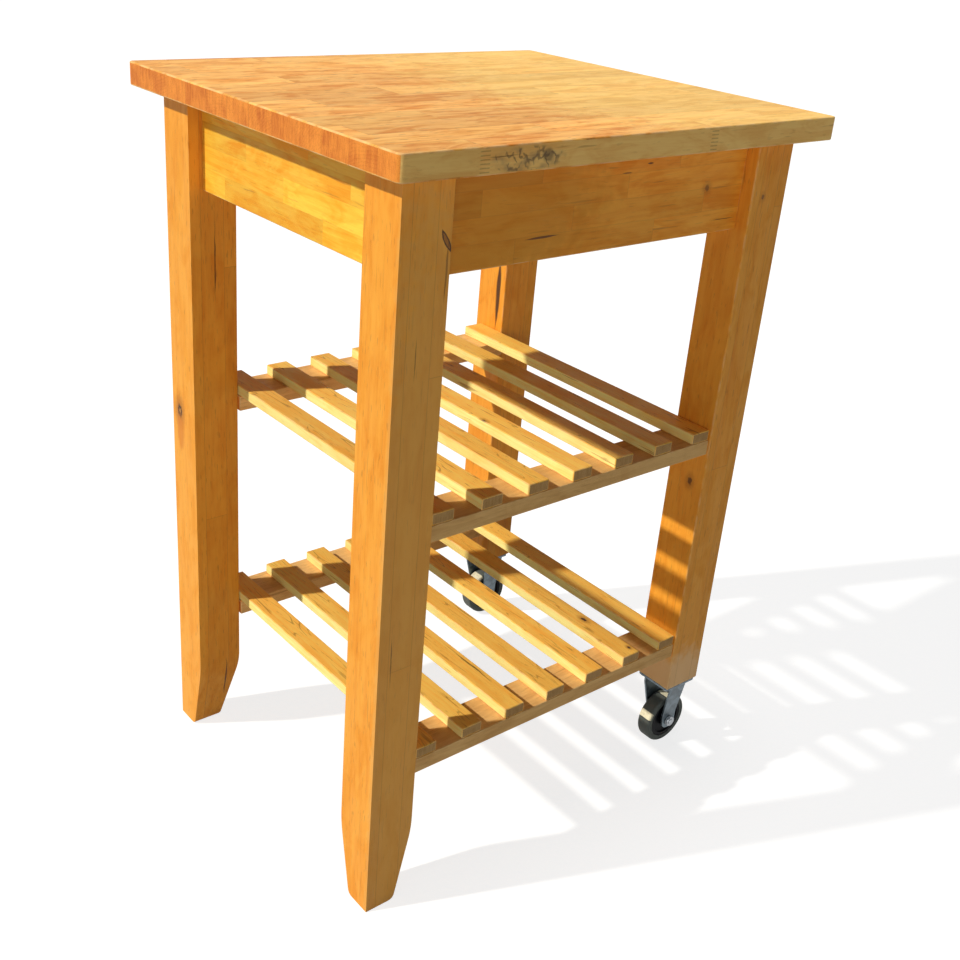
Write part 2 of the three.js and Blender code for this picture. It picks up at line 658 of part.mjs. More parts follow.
function axleBolt() {
  const headFace = cheekOuter + SEAT_GAP;
  const end = -cheekOuter - SEAT_GAP - AXLE_NUT_HEIGHT - AXLE_PROTRUSION;
  const head = hexagon(AXLE_HEAD_FLATS, headFace, headFace + AXLE_HEAD_HEIGHT);
  return onAxle(carve(head, { add: [rod(AXLE_RADIUS, end, headFace + OVERRUN)] }));
}

function axleNut() {
  const face = -cheekOuter - SEAT_GAP;
  return onAxle(hexagon(AXLE_HEAD_FLATS, face - AXLE_NUT_HEIGHT, face, AXLE_RADIUS + FIT_GAP));
}

function plateScrew([x, y]) {
  const headTop = plateUnderside - SEAT_GAP;
  const tip = CASTER_HEIGHT + PLATE_SCREW_BITE;
  const headBottom = headTop - PLATE_SCREW_HEAD_HEIGHT;
  const piece = screw(PLATE_SCREW_HEAD_RADIUS, PLATE_SCREW_HEAD_HEIGHT, PLATE_SCREW_RADIUS, headBottom, tip);
  return piece.translate(x, y, 0);
}

// ---------------------------------------------------------------- assembly

function addFrame() {
  addPiece('table_top', topSlab(), topWood);
  for (const { side, end, signX, signY } of quarters) {
    const place = (geometry) => mirrored(geometry, signX, signY);
    addPiece(`leg_${side}_${end}`, place(leg(side, end === 'right')), frameWood);
    addPiece(`corner_brace_${side}_${end}`, place(cornerBrace()), zincSteel);
    addPiece(`hanger_bolt_${side}_${end}`, place(hangerBolt()), darkSteel);
    addPiece(`hanger_nut_${side}_${end}`, place(hangerNut()), darkSteel);
    const headBottom = topScrewSeat - SEAT_GAP - TOP_SCREW_HEAD_HEIGHT;
    const tip = topUnderside + TOP_SCREW_BITE;
    const topScrew = screw(TOP_SCREW_HEAD_RADIUS, TOP_SCREW_HEAD_HEIGHT, TOP_SCREW_RADIUS, headBottom, tip);
    topScrew.translate(topScrewX, longApronCentreY, 0);
    addPiece(`top_screw_${side}_${end}`, place(topScrew), darkSteel);
  }
  addPiece('apron_front', mirrored(longApron(), 1, -1), frameWood);
  addPiece('apron_back', longApron(), frameWood);
  addPiece('apron_left', mirrored(shortApron(), -1, 1), frameWood);
  addPiece('apron_right', shortApron(), frameWood);
}

function addShelf(shelf, height) {
  addPiece(`batten_${shelf}_front`, mirrored(batten('front', height), 1, -1), frameWood);
  addPiece(`batten_${shelf}_back`, batten('back', height), frameWood);
  for (let number = 0; number < SLATS_PER_SHELF; number++) {
    addPiece(`slat_${shelf}_${number + 1}`, slat(height, number), slatWood);
  }
}

// Both casters are the same bought-in part, so the back one is moved and not mirrored.
function addCaster(side, signY) {
  const place = (geometry) => geometry.translate(0, signY * legCentreY, 0);
  addPiece(`caster_bracket_${side}`, place(casterBracket()), zincSteel);
  addPiece(`caster_tyre_${side}`, place(casterTyre()), greyRubber);
  addPiece(`caster_wheel_${side}`, place(casterWheel()), blackPlastic);
  addPiece(`axle_sleeve_${side}`, place(axleSleeve()), darkSteel);
  addPiece(`axle_bolt_${side}`, place(axleBolt()), zincSteel);
  addPiece(`axle_nut_${side}`, place(axleNut()), zincSteel);
  plateScrewPlaces.forEach((screwPlace, i) => {
    addPiece(`plate_screw_${side}_${i + 1}`, place(plateScrew(screwPlace)), darkSteel);
  });
}

addFrame();
for (const [shelf, height] of Object.entries(shelfHeights)) addShelf(shelf, height);
addCaster('front', -1);
addCaster('back', 1);

export default cart;
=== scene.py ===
"""The looks of a birch kitchen cart, built around its solids.

A stave worktop on four legs, two slatted shelves and two fixed casters. Each wooden
piece is shaped from a box, its grain is laid along it, and its finish follows the grain.
Lengths are in metres. X runs along the cart towards the casters, and -Y is its front.
"""

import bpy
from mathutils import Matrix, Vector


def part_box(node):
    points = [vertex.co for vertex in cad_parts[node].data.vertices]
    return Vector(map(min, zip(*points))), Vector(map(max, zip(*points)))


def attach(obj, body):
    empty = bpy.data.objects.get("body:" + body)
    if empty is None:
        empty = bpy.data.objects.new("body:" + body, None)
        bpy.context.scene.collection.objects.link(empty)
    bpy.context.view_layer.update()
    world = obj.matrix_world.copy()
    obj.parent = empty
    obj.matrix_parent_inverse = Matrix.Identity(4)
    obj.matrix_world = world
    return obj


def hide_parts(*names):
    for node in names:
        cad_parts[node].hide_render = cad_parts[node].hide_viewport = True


bl_info = {
    "name": "Kitchen Cart",
    "version": (1, 0, 0),
    "blender": (4, 5, 0),
    "location": "3D View > Sidebar > Kitchen Cart",
    "description": "Builds the finished pieces of a butcher block kitchen cart around its solids",
    "category": "Object",
}

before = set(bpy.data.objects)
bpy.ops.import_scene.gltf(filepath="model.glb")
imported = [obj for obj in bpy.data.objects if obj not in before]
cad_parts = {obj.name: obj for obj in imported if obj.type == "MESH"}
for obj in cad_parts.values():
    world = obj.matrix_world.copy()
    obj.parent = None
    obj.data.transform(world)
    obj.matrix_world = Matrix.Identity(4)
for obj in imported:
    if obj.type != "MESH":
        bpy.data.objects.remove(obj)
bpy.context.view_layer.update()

import math
from contextlib import contextmanager
from dataclasses import dataclass, replace
from functools import cache, partialmethod

import bmesh
import bpy
from bpy.props import FloatProperty, FloatVectorProperty, PointerProperty
from mathutils import Matrix, Vector

SIDES = ("front", "back")
ENDS = ("left", "right")
CORNERS = tuple(f"{side}_{end}" for end in ENDS for side in SIDES)
SHELVES = ("upper", "lower")
SLATS = range(1, 8)

# Places in a wooden piece's list of materials
FACE, ARRIS, END, EDGE = range(4)

# A face looks along an axis when its normal's share on it is over this. An end may lean more
FACING, END_FACING = 0.9, 0.75

# Clearance between pieces that meet, so that they never share a face
CLEARANCE = 0.0003

# An edge that rises more than this is an upright one
UPRIGHT = 0.01

# How far a cutter starts below the face that it cuts
OVERCUT = Vector((0, 0, 0.002))

# Which axes lie along, across and into a board, by the way its grain runs
GRAIN_ORDER = {
    "X": (0, 1, 2), "X upright": (0, 2, 1), "Y": (1, 0, 2), "Y upright": (1, 2, 0), "Z": (2, 0, 1),
}


# -------------------- settings


def length(name, default, description):
    return FloatProperty(
        name=name, default=default, description=description, unit="LENGTH", precision=4
    )


def colour(name, default, description):
    return FloatVectorProperty(
        name=name, default=default, description=description, subtype="COLOR", size=3, min=0, max=1
    )


class CartShape(bpy.types.PropertyGroup):
    """Sizes of the details that finish the cart's pieces"""

    top_corner: length("Top corner", 0.006, "Radius of the worktop's upright corners")
    top_arris: length("Top arris", 0.0016, "Rounding of the worktop's long edges")
    leg_arris: length("Leg arris", 0.0018, "Rounding of a leg's long edges")
    apron_arris: length("Apron arris", 0.0012, "Rounding of an apron's edges")
    slat_arris: length("Slat arris", 0.0011, "Rounding of a slat's edges")
    taper_height: length("Taper height", 0.108, "Height above the floor where the taper starts")
    taper_depth: length("Taper depth", 0.020, "How far the taper cuts in at the floor")
    taper_ease: length("Taper ease", 0.030, "Height over which the taper sets in")
    toe: length("Toe", 0.007, "Rounding of the foot at the end of the taper")
    tread_shoulder: length("Tread shoulder", 0.0035, "Rounding of the tyre between tread and side")
    wheel_rim: length("Wheel rim", 0.0047, "Depth of the rim of the wheel")
    wheel_web: length("Wheel web", 0.002, "How far the web lies below the rim")
    hub_radius: length("Hub radius", 0.011, "Radius of the wheel's hub")
    pocket_radius: length("Screw pocket", 0.0055, "Radius of the screw pockets in the long aprons")
    pocket_depth: length("Pocket depth", 0.0653, "Depth of the screw pockets in the long aprons")


class CartFinish(bpy.types.PropertyGroup):
    """Colours of the cart's finishes"""

    top_light: colour("Top, light", (0.99, 0.53, 0.120), "Lighter wood of the worktop")
    top_deep: colour("Top, deep", (0.72, 0.25, 0.035), "Deeper wood of the worktop")
    frame_light: colour("Frame, light", (0.90, 0.39, 0.041), "Lighter wood of legs and aprons")
    frame_deep: colour("Frame, deep", (0.75, 0.24, 0.014), "Deeper wood of legs and aprons")
    slat_light: colour("Slat, light", (1.00, 0.63, 0.130), "Lighter wood of the slats")
    slat_deep: colour("Slat, deep", (0.98, 0.44, 0.060), "Deeper wood of the slats")
    slat_edge: colour("Slat edge", (1.00, 0.89, 0.35), "Paler narrow sides of the slats")
    # Partly painted reflection: the plate's own grey-blue is made darker and bluer, standing for a
    # dark blue sky mirrored in the zinc
    zinc: colour("Zinc", (0.17, 0.21, 0.235), "Plated steel of the casters")
    steel: colour("Steel", (0.42, 0.44, 0.46), "Bright steel of the bolts, nuts and screws")
    rubber: colour("Rubber", (0.080, 0.089, 0.078), "Tread of the casters")
    plastic: colour("Plastic", (0.003, 0.003, 0.004), "Moulded wheels")


class CartStage(bpy.types.PropertyGroup):
    """Camera and light"""

    camera_place: FloatVectorProperty(
        name="Camera place", description="Where the camera stands", unit="LENGTH",
        default=(-0.8776, -1.0421, 1.0487),
    )
    camera_turn: FloatVectorProperty(
        name="Camera turn", description="How the camera is turned", subtype="EULER",
        default=(math.radians(64.814), math.radians(-4.061), math.radians(-38.553)),
    )
    lens: FloatProperty(name="Lens", description="Focal length in millimetres", default=45.967)
    shift: FloatVectorProperty(
        name="Shift", description="Shift of the picture", size=2, default=(0.0197, -0.0225)
    )
    key_from: FloatVectorProperty(
        name="Key from", description="Direction that the main light comes from", size=3,
        subtype="DIRECTION", default=(-1.0, 0.40, 0.79),
    )
    key_strength: FloatProperty(name="Key", description="Strength of the main light", default=1.05)
    overhead: FloatProperty(
        name="Overhead", description="Strength of the light from above", default=0.27
    )
    fill: FloatProperty(
        name="Fill", description="Strength of the soft light from the front", default=0.21
    )
    ambient: FloatProperty(
        name="Ambient", description="Strength of the light from all round", default=0.06
    )


# -------------------- finishes


class Signal:
    """A shader socket. Arithmetic on signals adds the Math nodes for it."""

    def __init__(self, nodes, socket):
        self.nodes = nodes
        self.socket = socket

    def math(self, operation, *others):
        return self.nodes.math(operation, self, *others)

    def __rsub__(self, other):
        return self.nodes.math("SUBTRACT", other, self)

    __add__ = __radd__ = partialmethod(math, "ADD")
    __sub__ = partialmethod(math, "SUBTRACT")
    __mul__ = __rmul__ = partialmethod(math, "MULTIPLY")
    __truediv__ = partialmethod(math, "DIVIDE")
    __pow__ = partialmethod(math, "POWER")
    __abs__ = partialmethod(math, "ABSOLUTE")


class Nodes:
    """A node tree. Its method node adds each node, and the others name what they add."""

    def __init__(self, tree):
        self.tree = tree

    def node(self, kind, settings=None, inputs=None, output=0):
        """Adds a node. Its settings are made first, and then its sockets are fed."""
        made = self.tree.nodes.new(kind)
        for key, value in (settings or {}).items():
            setattr(made, key, value)
        for key, value in (inputs or {}).items():
            self.feed(made.inputs[key], value)
        if isinstance(output, tuple):
            return [Signal(self, made.outputs[each]) for each in output]
        return Signal(self, made.outputs[output])

    def feed(self, socket, value):
        if isinstance(value, Signal):
            self.tree.links.new(value.socket, socket)
        else:
            socket.default_value = value

    def math(self, operation, *operands):
        return self.node("ShaderNodeMath", {"operation": operation}, dict(enumerate(operands)))

    def vector_math(self, operation, *operands, output=0):
        settings = {"operation": operation}
        return self.node("ShaderNodeVectorMath", settings, dict(enumerate(operands)), output)

    def vector(self, x, y, z):
        return self.node("ShaderNodeCombineXYZ", inputs={0: x, 1: y, 2: z})

    def split(self, vector):
        return self.node("ShaderNodeSeparateXYZ", inputs={0: vector}, output=(0, 1, 2))

    def offset(self, place, centre):
        """How far a point lies from a centre along X, Y and Z."""
        return self.split(self.vector_math("SUBTRACT", place, centre))

    def reach(self, place, centre, half):
        """How far out a point lies from the middle of an ellipsoid: 1 on its surface."""
        offset = self.vector_math("SUBTRACT", place, centre)
        return self.vector_math("LENGTH", self.vector_math("DIVIDE", offset, half), output=1)

    def fade(self, value, start, end):
        """Rises smoothly from 0 to 1 as the value goes from start to end."""
        inputs = {"Value": value, "From Min": start, "From Max": end}
        return self.node("ShaderNodeMapRange", {"interpolation_type": "SMOOTHSTEP"}, inputs)

    def drop(self, value, start, end):
        """Falls smoothly from 1 to 0 as the value goes from start to end."""
        return 1 - self.fade(value, start, end)

    def mix(self, factor, first, second, blend="MIX"):
        settings = {"data_type": "RGBA", "blend_type": blend}
        first, second = (
            each if isinstance(each, Signal) else (*each, 1.0) for each in (first, second)
        )
        return self.node("ShaderNodeMix", settings, {0: factor, 6: first, 7: second}, 2)

    def noise(self, vector, scale, detail=0.0, roughness=0.5, distortion=0.0, output=0):
        """Noise whose features are one over the scale long. The scale may differ by axis."""
        scale = scale if isinstance(scale, tuple) else (scale,) * 3
        inputs = {
            "Vector": self.vector_math("MULTIPLY", vector, scale), "Scale": 1.0, "Detail": detail,
            "Roughness": roughness, "Distortion": distortion,
        }
        return self.node("ShaderNodeTexNoise", inputs=inputs, output=output)

    def patches(self, vector, scale, start, end, *character):
        """Noise that rises from 0 to 1 between two of its levels."""
        return self.fade(self.noise(vector, scale, *character), start, end)

    def random(self, number):
        """Three random numbers from one."""
        drawn = self.node("ShaderNodeTexWhiteNoise", {"noise_dimensions": "1D"}, {"W": number}, 1)
        return self.split(drawn)

    def place(self):
        return self.node("ShaderNodeTexCoord", output="Object")

    def attribute(self, name, output):
        return self.node("ShaderNodeAttribute", {"attribute_name": name}, output=output)


class Finish(Nodes):
    """A material. Its constants are the shader's own sockets, with _ for a space."""

    def __init__(self, name, **constants):
        self.material = bpy.data.materials.new(name)
        self.material.use_nodes = True
        super().__init__(self.material.node_tree)
        self.shader = self.tree.nodes["Principled BSDF"]
        for socket, value in constants.items():
            self.shader.inputs[socket.replace("_", " ")].default_value = value

    def paint(self, colour, roughness, height, relief):
        """Feeds the shader: base colour, roughness, and a relief of that height in metres."""
        inputs = {"Strength": 1.0, "Distance": relief, "Height": height}
        bump = self.node("ShaderNodeBump", inputs=inputs)
        for socket, value in {"Base Color": colour, "Roughness": roughness, "Normal": bump}.items():
            self.feed(self.shader.inputs[socket], value)
        return self.material


# -------------------- marks in the wood

KNOT_RING, KNOT_CORE, KNOT_EYE = (0.30, 0.085, 0.012), (0.022, 0.008, 0.003), (0.75, 0.36, 0.08)
CRACK_LINE, COMB_TIP = (0.055, 0.018, 0.004), (0.16, 0.065, 0.018)
SPALT_STAIN, SPALT_LINE = (0.28, 0.17, 0.09), (0.10, 0.062, 0.038)
LEAF_WOOD, LEAF_RIM = (0.22, 0.07, 0.014), (0.025, 0.009, 0.003)


@dataclass
class Knot:
    """A dark knot with a ruddy ring, and perhaps a paler eye. Radii are along X, Y and Z."""

    centre: tuple
    radii: tuple
    strength: float = 1.0
    eye: float = 0.0

    def mark(self, wood, place, colour):
        distance = wood.reach(place, self.centre, self.radii)
        distance = distance + wood.noise(place, 310, 2) * 0.9 - 0.45
        ring = wood.drop(distance, 0.9, 2.6) * (0.55 * self.strength)
        core = wood.drop(distance, 0.55, 1.0) * (0.95 * self.strength)
        colour = wood.mix(core, wood.mix(ring, colour, KNOT_RING), KNOT_CORE)
        return wood.mix(wood.drop(distance, 0.1, 0.4) * self.eye, colour, KNOT_EYE)


@dataclass
class Crack:
    """A thin dark line that wavers along one axis. Half sizes are along X, Y and Z."""

    centre: tuple
    half: tuple
    along: int
    across: int
    strength: float = 0.85
    waver: float = 0.0022

    def mark(self, wood, place, colour):
        offset = wood.offset(place, self.centre)
        stretch = [160.0] * 3
        stretch[self.along] = 26.0
        drift = (wood.noise(place, tuple(stretch), 3) - 0.5) * (2 * self.waver)
        side = abs(offset[self.across] + drift) / self.half[self.across]
        depth = 3 - self.along - self.across
        run, inside = (abs(offset[axis]) / self.half[axis] for axis in (self.along, depth))
        line = wood.fade(wood.drop(run, 0.15, 1.0) - side, 0.0, 0.5)
        return wood.mix(line * wood.drop(inside, 0.9, 1.0) * self.strength, colour, CRACK_LINE)


@dataclass
class Spalt:
    """Grey-black squiggles of old spalting. Half sizes are along X, Y and Z."""

    centre: tuple
    half: tuple
    strength: float = 0.85

    def mark(self, wood, place, colour):
        patch = wood.drop(wood.reach(place, self.centre, self.half), 0.75, 1.05)
        warp = wood.noise(place, 90, 2, output=1)
        bent = wood.vector_math("MULTIPLY_ADD", warp, (0.018, 0.018, 0.018), place)
        settings = {"feature": "DISTANCE_TO_EDGE"}
        cells = wood.node("ShaderNodeTexVoronoi", settings, {"Vector": bent, "Scale": 78.0})
        line = wood.drop(cells, 0.03, 0.13) * wood.patches(place, 120, 0.40, 0.54, 1)
        stain = wood.patches(place, (60, 60, 95), 0.40, 0.70, 2) * 0.55
        colour = wood.mix(patch * stain, colour, SPALT_STAIN)
        return wood.mix(line * patch * self.strength, colour, SPALT_LINE)


@dataclass
class Comb:
    """The tips of a finger joint on a face that looks along Y: a column of short dark dashes."""

    centre: tuple
    half_length: float
    pitch: float

    def mark(self, wood, place, colour):
        x, y, z = wood.offset(place, self.centre)
        lane = abs((z / self.pitch).math("FRACT") - 0.5)
        dash = wood.drop(lane, 0.06, 0.22)
        dash = dash * wood.drop(abs(x), self.half_length * 0.8, self.half_length)
        dash = dash * wood.drop(abs(y), 0.003, 0.005) * wood.drop(abs(z), 0.010, 0.012)
        return wood.mix(dash * 0.42, colour, COMB_TIP)


@dataclass
class Leaf:
    """A narrow pointed eye in the grain with a dark outline, on a face that looks along Y."""

    centre: tuple
    width: float
    height: float
    lean: float = 0.0

    def mark(self, wood, place, colour):
        x, y, z = wood.offset(place, self.centre)
        side = abs(x + z * self.lean + (wood.noise(place, 300, 1) - 0.5) * 0.0012) / self.width
        reach = side + (z / self.height) ** 2
        near = wood.drop(abs(y), 0.003, 0.005)
        colour = wood.mix(wood.drop(reach, 0.85, 1.05) * near * 0.75, colour, LEAF_WOOD)
        return wood.mix(wood.drop(abs(reach - 0.98), 0.10, 0.42) * near * 0.95, colour, LEAF_RIM)


@dataclass
class StainAndSheen:
    """A soft patch of another colour: mostly a stain in the wood, and on the worktop a painted
    sheen. Half sizes are along X, Y and Z.
    """

    centre: tuple
    half: tuple
    tint: tuple
    strength: float = 0.6

    def mark(self, wood, place, colour):
        reach = wood.reach(place, self.centre, self.half) + (wood.noise(place, 90, 2) - 0.5) * 0.7
        return wood.mix(wood.drop(reach, 0.6, 1.2) * self.strength, colour, self.tint)


# -------------------- wood finishes


FLECK, VEIN, CURL = (0.22, 0.075, 0.014), (0.33, 0.12, 0.02), (0.16, 0.055, 0.012)
GLUE_LINE, END_GLUE, PORE = (0.25, 0.09, 0.02), (0.22, 0.07, 0.015), (0.30, 0.08, 0.015)
BARE_WOOD = (0.93, 0.63, 0.30)
HALF_SEAM = 0.0007
RING_WIDTH = 0.0031
TOOTH_PITCH = 0.0036


@dataclass
class Boards:
    """One kind of board: its colours, the staves that it is glued from and its marks."""

    light: tuple
    deep: tuple
    stave_width: float = 0.0
    stave_length: float = 1.0
    first_row: float = 0.0
    first_joint: float = 0.0
    tooth_depth: float = 0.010
    stave_contrast: float = 0.16
    mottle: float = 0.55
    mottle_scale: tuple = (16, 42, 42)
    figure: float = 0.34
    streak: float = 0.30
    fleck: float = 0.42
    fleck_scale: tuple = (65, 520, 520)
    vein: float = 0.45
    curl: float = 0.0
    seam: float = 0.30
    joint: float = 0.30
    gloss: float = 0.25
    marks: tuple = ()


def staves(wood, boards, shift):
    """The grain at a point, the same moved at random for its stave by up to the shift along it,
    three random numbers for the stave, and how near its glue line is."""
    grain, seed = wood.attribute("grain", "Vector"), wood.attribute("seed", "Fac")
    if boards.stave_width:
        along, across, depth = wood.split(grain)
        lane = (across + boards.first_row) / boards.stave_width
        row = lane.math("FLOOR")
        teeth = (depth / TOOTH_PITCH).math("PINGPONG", 0.5) * (2 * boards.tooth_depth)
        run = (along + teeth + boards.first_joint) / boards.stave_length + row * 0.618
        picks = wood.random(row * 17.13 + run.math("FLOOR") * 5.97 + seed * 2.33)
        ways = (lane, boards.stave_width, boards.seam), (run, boards.stave_length, boards.joint)
        seams = [
            wood.fade(abs(way.math("FRACT") - 0.5), 0.5 - HALF_SEAM / size, 0.5) * weight
            for way, size, weight in ways
        ]
        seam = seams[0].math("MAXIMUM", seams[1])
    else:
        picks, seam = wood.random(seed * 5.31), 0.0
    moved = wood.vector(picks[0] * shift, picks[1] * 3.0, picks[2] * 3.0)
    return grain, wood.vector_math("ADD", grain, moved), picks, seam


def birch(name, boards, worn=0.0):
    """Oiled birch seen along the grain."""
    wood = Finish(name, Specular_IOR_Level=boards.gloss)
    place = wood.place()
    _, board, picks, seam = staves(wood, boards, 9.0)

    waver = (wood.noise(board, (4.5, 22, 22), 2) - 0.5) * 0.014
    bent = wood.vector_math("ADD", board, wood.vector(0.0, waver, waver))
    growth = (wood.noise(bent, (1.5, 21, 21), 0.4) * 15).math("FRACT")
    late = growth**2 * wood.drop(growth, 0.86, 1.0)
    fibre = wood.noise(bent, (32, 560, 560), 3, 0.6)
    streak = wood.patches(bent, (7, 120, 120), 0.40, 0.66, 3, 0.6)
    mottle = wood.patches(board, boards.mottle_scale, 0.40, 0.64, 4, 0.6, 0.9)
    fleck = wood.patches(board, boards.fleck_scale, 0.64, 0.72, 1)
    vein = wood.patches(bent, (14, 260, 260), 0.66, 0.74, 2)

    deepness = mottle * boards.mottle + late * boards.figure + streak * boards.streak
    deepness = deepness + (fibre - 0.5) * 0.9 + (picks[1] - 0.5) * 0.25
    colour = wood.mix(deepness.math("MAXIMUM", 0.0).math("MINIMUM", 1.0), boards.light, boards.deep)
    low, high = 1 - boards.stave_contrast, 1 + boards.stave_contrast / 2
    tone = wood.mix(picks[0], (low, low * 0.98, low * 0.94), (high, high, high))
    colour = wood.mix(1.0, colour, tone, "MULTIPLY")
    colour = wood.mix(fleck * boards.fleck, colour, FLECK)
    colour = wood.mix(vein * boards.vein, colour, VEIN)
    if boards.curl:
        swirl = wood.noise(board, (9, 95, 95), 1, 0.4, 0.6)
        line = wood.drop(abs(swirl - 0.5), 0.004, 0.020)
        line = line * wood.patches(board, (22, 60, 60), 0.46, 0.56, 1)
        colour = wood.mix(line * boards.curl, colour, CURL)
    for mark in boards.marks:
        colour = mark.mark(wood, place, colour)
    if boards.stave_width:
        colour = wood.mix(seam, colour, GLUE_LINE)
    if worn:
        colour = wood.mix(wood.patches(place, 55, 0.36, 0.62, 3) * worn, colour, BARE_WOOD)
    roughness = 0.40 + mottle * 0.10 + fibre * 0.16
    height = fibre * 0.7 + late * 0.3 - fleck * 0.5
    return wood.paint(colour, roughness, height, 0.00012)


def birch_end(name, boards, ruddy=(0.54, 0.125, 0.016), pale=(0.84, 0.29, 0.043)):
    """Birch seen on its end grain."""
    wood = Finish(name, Specular_IOR_Level=0.2)
    grain, board, picks, seam = staves(wood, replace(boards, tooth_depth=0.0), 3.0)
    _, across, depth = wood.split(grain)
    waver = (wood.noise(board, (1, 60, 60), 2) - 0.5) * 0.006
    reach_across = across - (picks[1] - 0.2) * 0.55
    reach_depth = depth + 0.03 + picks[2] * 0.09
    radius = (reach_across**2 + reach_depth**2).math("SQRT") + waver
    ring = (radius / RING_WIDTH).math("FRACT")
    late = ring**3 * wood.drop(ring, 0.85, 1.0)
    ray = wood.noise(board, (1, 330, 45), 2)
    pores = wood.patches(board, 900, 0.52, 0.72, 2)
    stain = wood.patches(board, (30, 38, 38), 0.34, 0.66, 3, 0.6)
    deepness = stain * 0.55 + late * 0.30 + (ray - 0.5) * 1.3 + (picks[0] - 0.4) * 0.35
    colour = wood.mix(deepness.math("MAXIMUM", 0.0).math("MINIMUM", 1.0), pale, ruddy)
    colour = wood.mix(pores * 0.30, colour, PORE)
    if boards.stave_width:
        colour = wood.mix(seam * 0.6, colour, END_GLUE)
    return wood.paint(colour, 0.55 + pores * 0.15, ray - pores * 0.6, 0.0001)


def wood_set(name, boards, edge_boards=None, worn=0.55, **end_colours):
    """The materials of a wooden piece, in the order of FACE, ARRIS, END and EDGE."""
    made = [birch(name, boards), birch(f"{name}_arris", boards, worn)]
    made.append(birch_end(f"{name}_end", boards, **end_colours))
    if edge_boards:
        made.append(birch(f"{name}_edge", edge_boards))
    return made


# -------------------- other finishes


ZINC_BLOOM, RUST, WHEEL_DUST = (0.42, 0.42, 0.38), (0.20, 0.11, 0.06), (0.040, 0.038, 0.034)
TREAD_DUST, TREAD_SCUFF = (0.14, 0.135, 0.12), (0.02, 0.02, 0.021)
STRIP, STRIP_GRIME, STRIP_RIM = (0.84, 0.76, 0.54), (0.50, 0.44, 0.30), (0.006, 0.006, 0.006)


def zinc_plate(name, base):
    """Zinc plate with the lines of rolling and dull spots."""
    finish = Finish(name, Metallic=0.9)
    place = finish.place()
    cloud = finish.noise(place, 85, 4, 0.6, 0.6)
    roll = finish.noise(place, (1400, 90, 90), 2)
    spots = finish.patches(place, 420, 0.66, 0.76, 2)
    dark = tuple(0.55 * channel for channel in base)
    colour = finish.mix(finish.fade(cloud, 0.32, 0.68), dark, base)
    colour = finish.mix(spots * 0.35, colour, ZINC_BLOOM)
    roughness = 0.27 + cloud * 0.16 + roll * 0.10 + spots * 0.2
    return finish.paint(colour, roughness, roll * 0.4 + cloud, 0.00008)


def screw_steel(name, base):
    """Bright steel with a little rust."""
    finish = Finish(name, Metallic=0.9)
    place = finish.place()
    cloud = finish.noise(place, 160, 3)
    bloom = finish.patches(place, 260, 0.60, 0.78, 3)
    colour = finish.mix(bloom * 0.5, base, RUST)
    return finish.paint(colour, 0.34 + cloud * 0.25 + bloom * 0.2, cloud, 0.00006)


def tread_rubber(name, base, axle, strips):
    """Rubber with blank pale strips across the tread, in degrees from its top towards -X."""
    finish = Finish(name)
    place = finish.place()
    dust = finish.patches(place, 60, 0.42, 0.74, 4, 0.65)
    scuff = finish.patches(place, (95, 700, 95), 0.58, 0.72, 3)
    grit = finish.noise(place, 1500, 2)
    colour = finish.mix(dust * 0.35, base, TREAD_DUST)
    colour = finish.mix(scuff * 0.25, colour, TREAD_SCUFF)
    x, _, z = finish.offset(place, axle)
    tread = finish.fade((x**2 + z**2).math("SQRT"), 0.0312, 0.0320)
    turn = (0 - x).math("ARCTAN2", z) * math.degrees(1) + (finish.noise(place, 180, 2) - 0.5) * 2.5
    grime = finish.patches(place, 210, 0.35, 0.70, 3, 0.6) * 0.55
    strip_colour = finish.mix(grime, STRIP, STRIP_GRIME)
    for start, end in strips:
        strip = finish.fade(turn, start - 0.8, start + 0.8)
        strip = strip * finish.drop(turn, end - 0.8, end + 0.8)
        line = finish.drop(abs(turn - end - 2), 0.6, 1.8)
        colour = finish.mix(line * tread * 0.8, colour, STRIP_RIM)
        colour = finish.mix(strip * tread, colour, strip_colour)
    return finish.paint(colour, 0.62 + grit * 0.2 + dust * 0.1, grit * 0.6 - scuff * 0.5, 0.00012)


def moulded_plastic(name, base):
    """Black plastic with a fine pebble and a little dust."""
    finish = Finish(name, Specular_IOR_Level=0.06)
    place = finish.place()
    pebble = finish.noise(place, 1100, 2)
    dust = finish.patches(place, 75, 0.52, 0.80, 3)
    colour = finish.mix(dust * 0.04, base, WHEEL_DUST)
    return finish.paint(colour, 0.36 + pebble * 0.14 + dust * 0.2, pebble, 0.00005)


# -------------------- modelling by hand


def middle_of(node):
    """The middle of a node's box."""
    return sum(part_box(node), Vector()) / 2


def pick(piece):
    """Leaves just this piece selected, and active."""
    bpy.ops.object.select_all(action="DESELECT")
    piece.select_set(True)
    bpy.context.view_layer.objects.active = piece


def settle(name):
    """Names the new primitive and moves its place into its mesh."""
    piece = bpy.context.object
    piece.name = piece.data.name = name
    bpy.ops.object.transform_apply(location=True, rotation=True, scale=True)
    return piece


def bar(name, low, high):
    """A box between two corners."""
    bpy.ops.object.select_all(action="DESELECT")
    bpy.ops.mesh.primitive_cube_add(size=1, location=(low + high) / 2, scale=high - low)
    return settle(name)


def rod(name, start, end, radius, facets=32):
    """A cylinder from one point to another."""
    run = end - start
    turn = run.to_track_quat("Z", "Y").to_euler()
    bpy.ops.object.select_all(action="DESELECT")
    bpy.ops.mesh.primitive_cylinder_add(
        vertices=facets, radius=radius, depth=run.length, location=(start + end) / 2, rotation=turn
    )
    return settle(name)


@contextmanager
def editing(piece):
    """Edit mode on one piece."""
    pick(piece)
    bpy.ops.object.mode_set(mode="EDIT")
    yield
    bpy.ops.object.mode_set(mode="OBJECT")


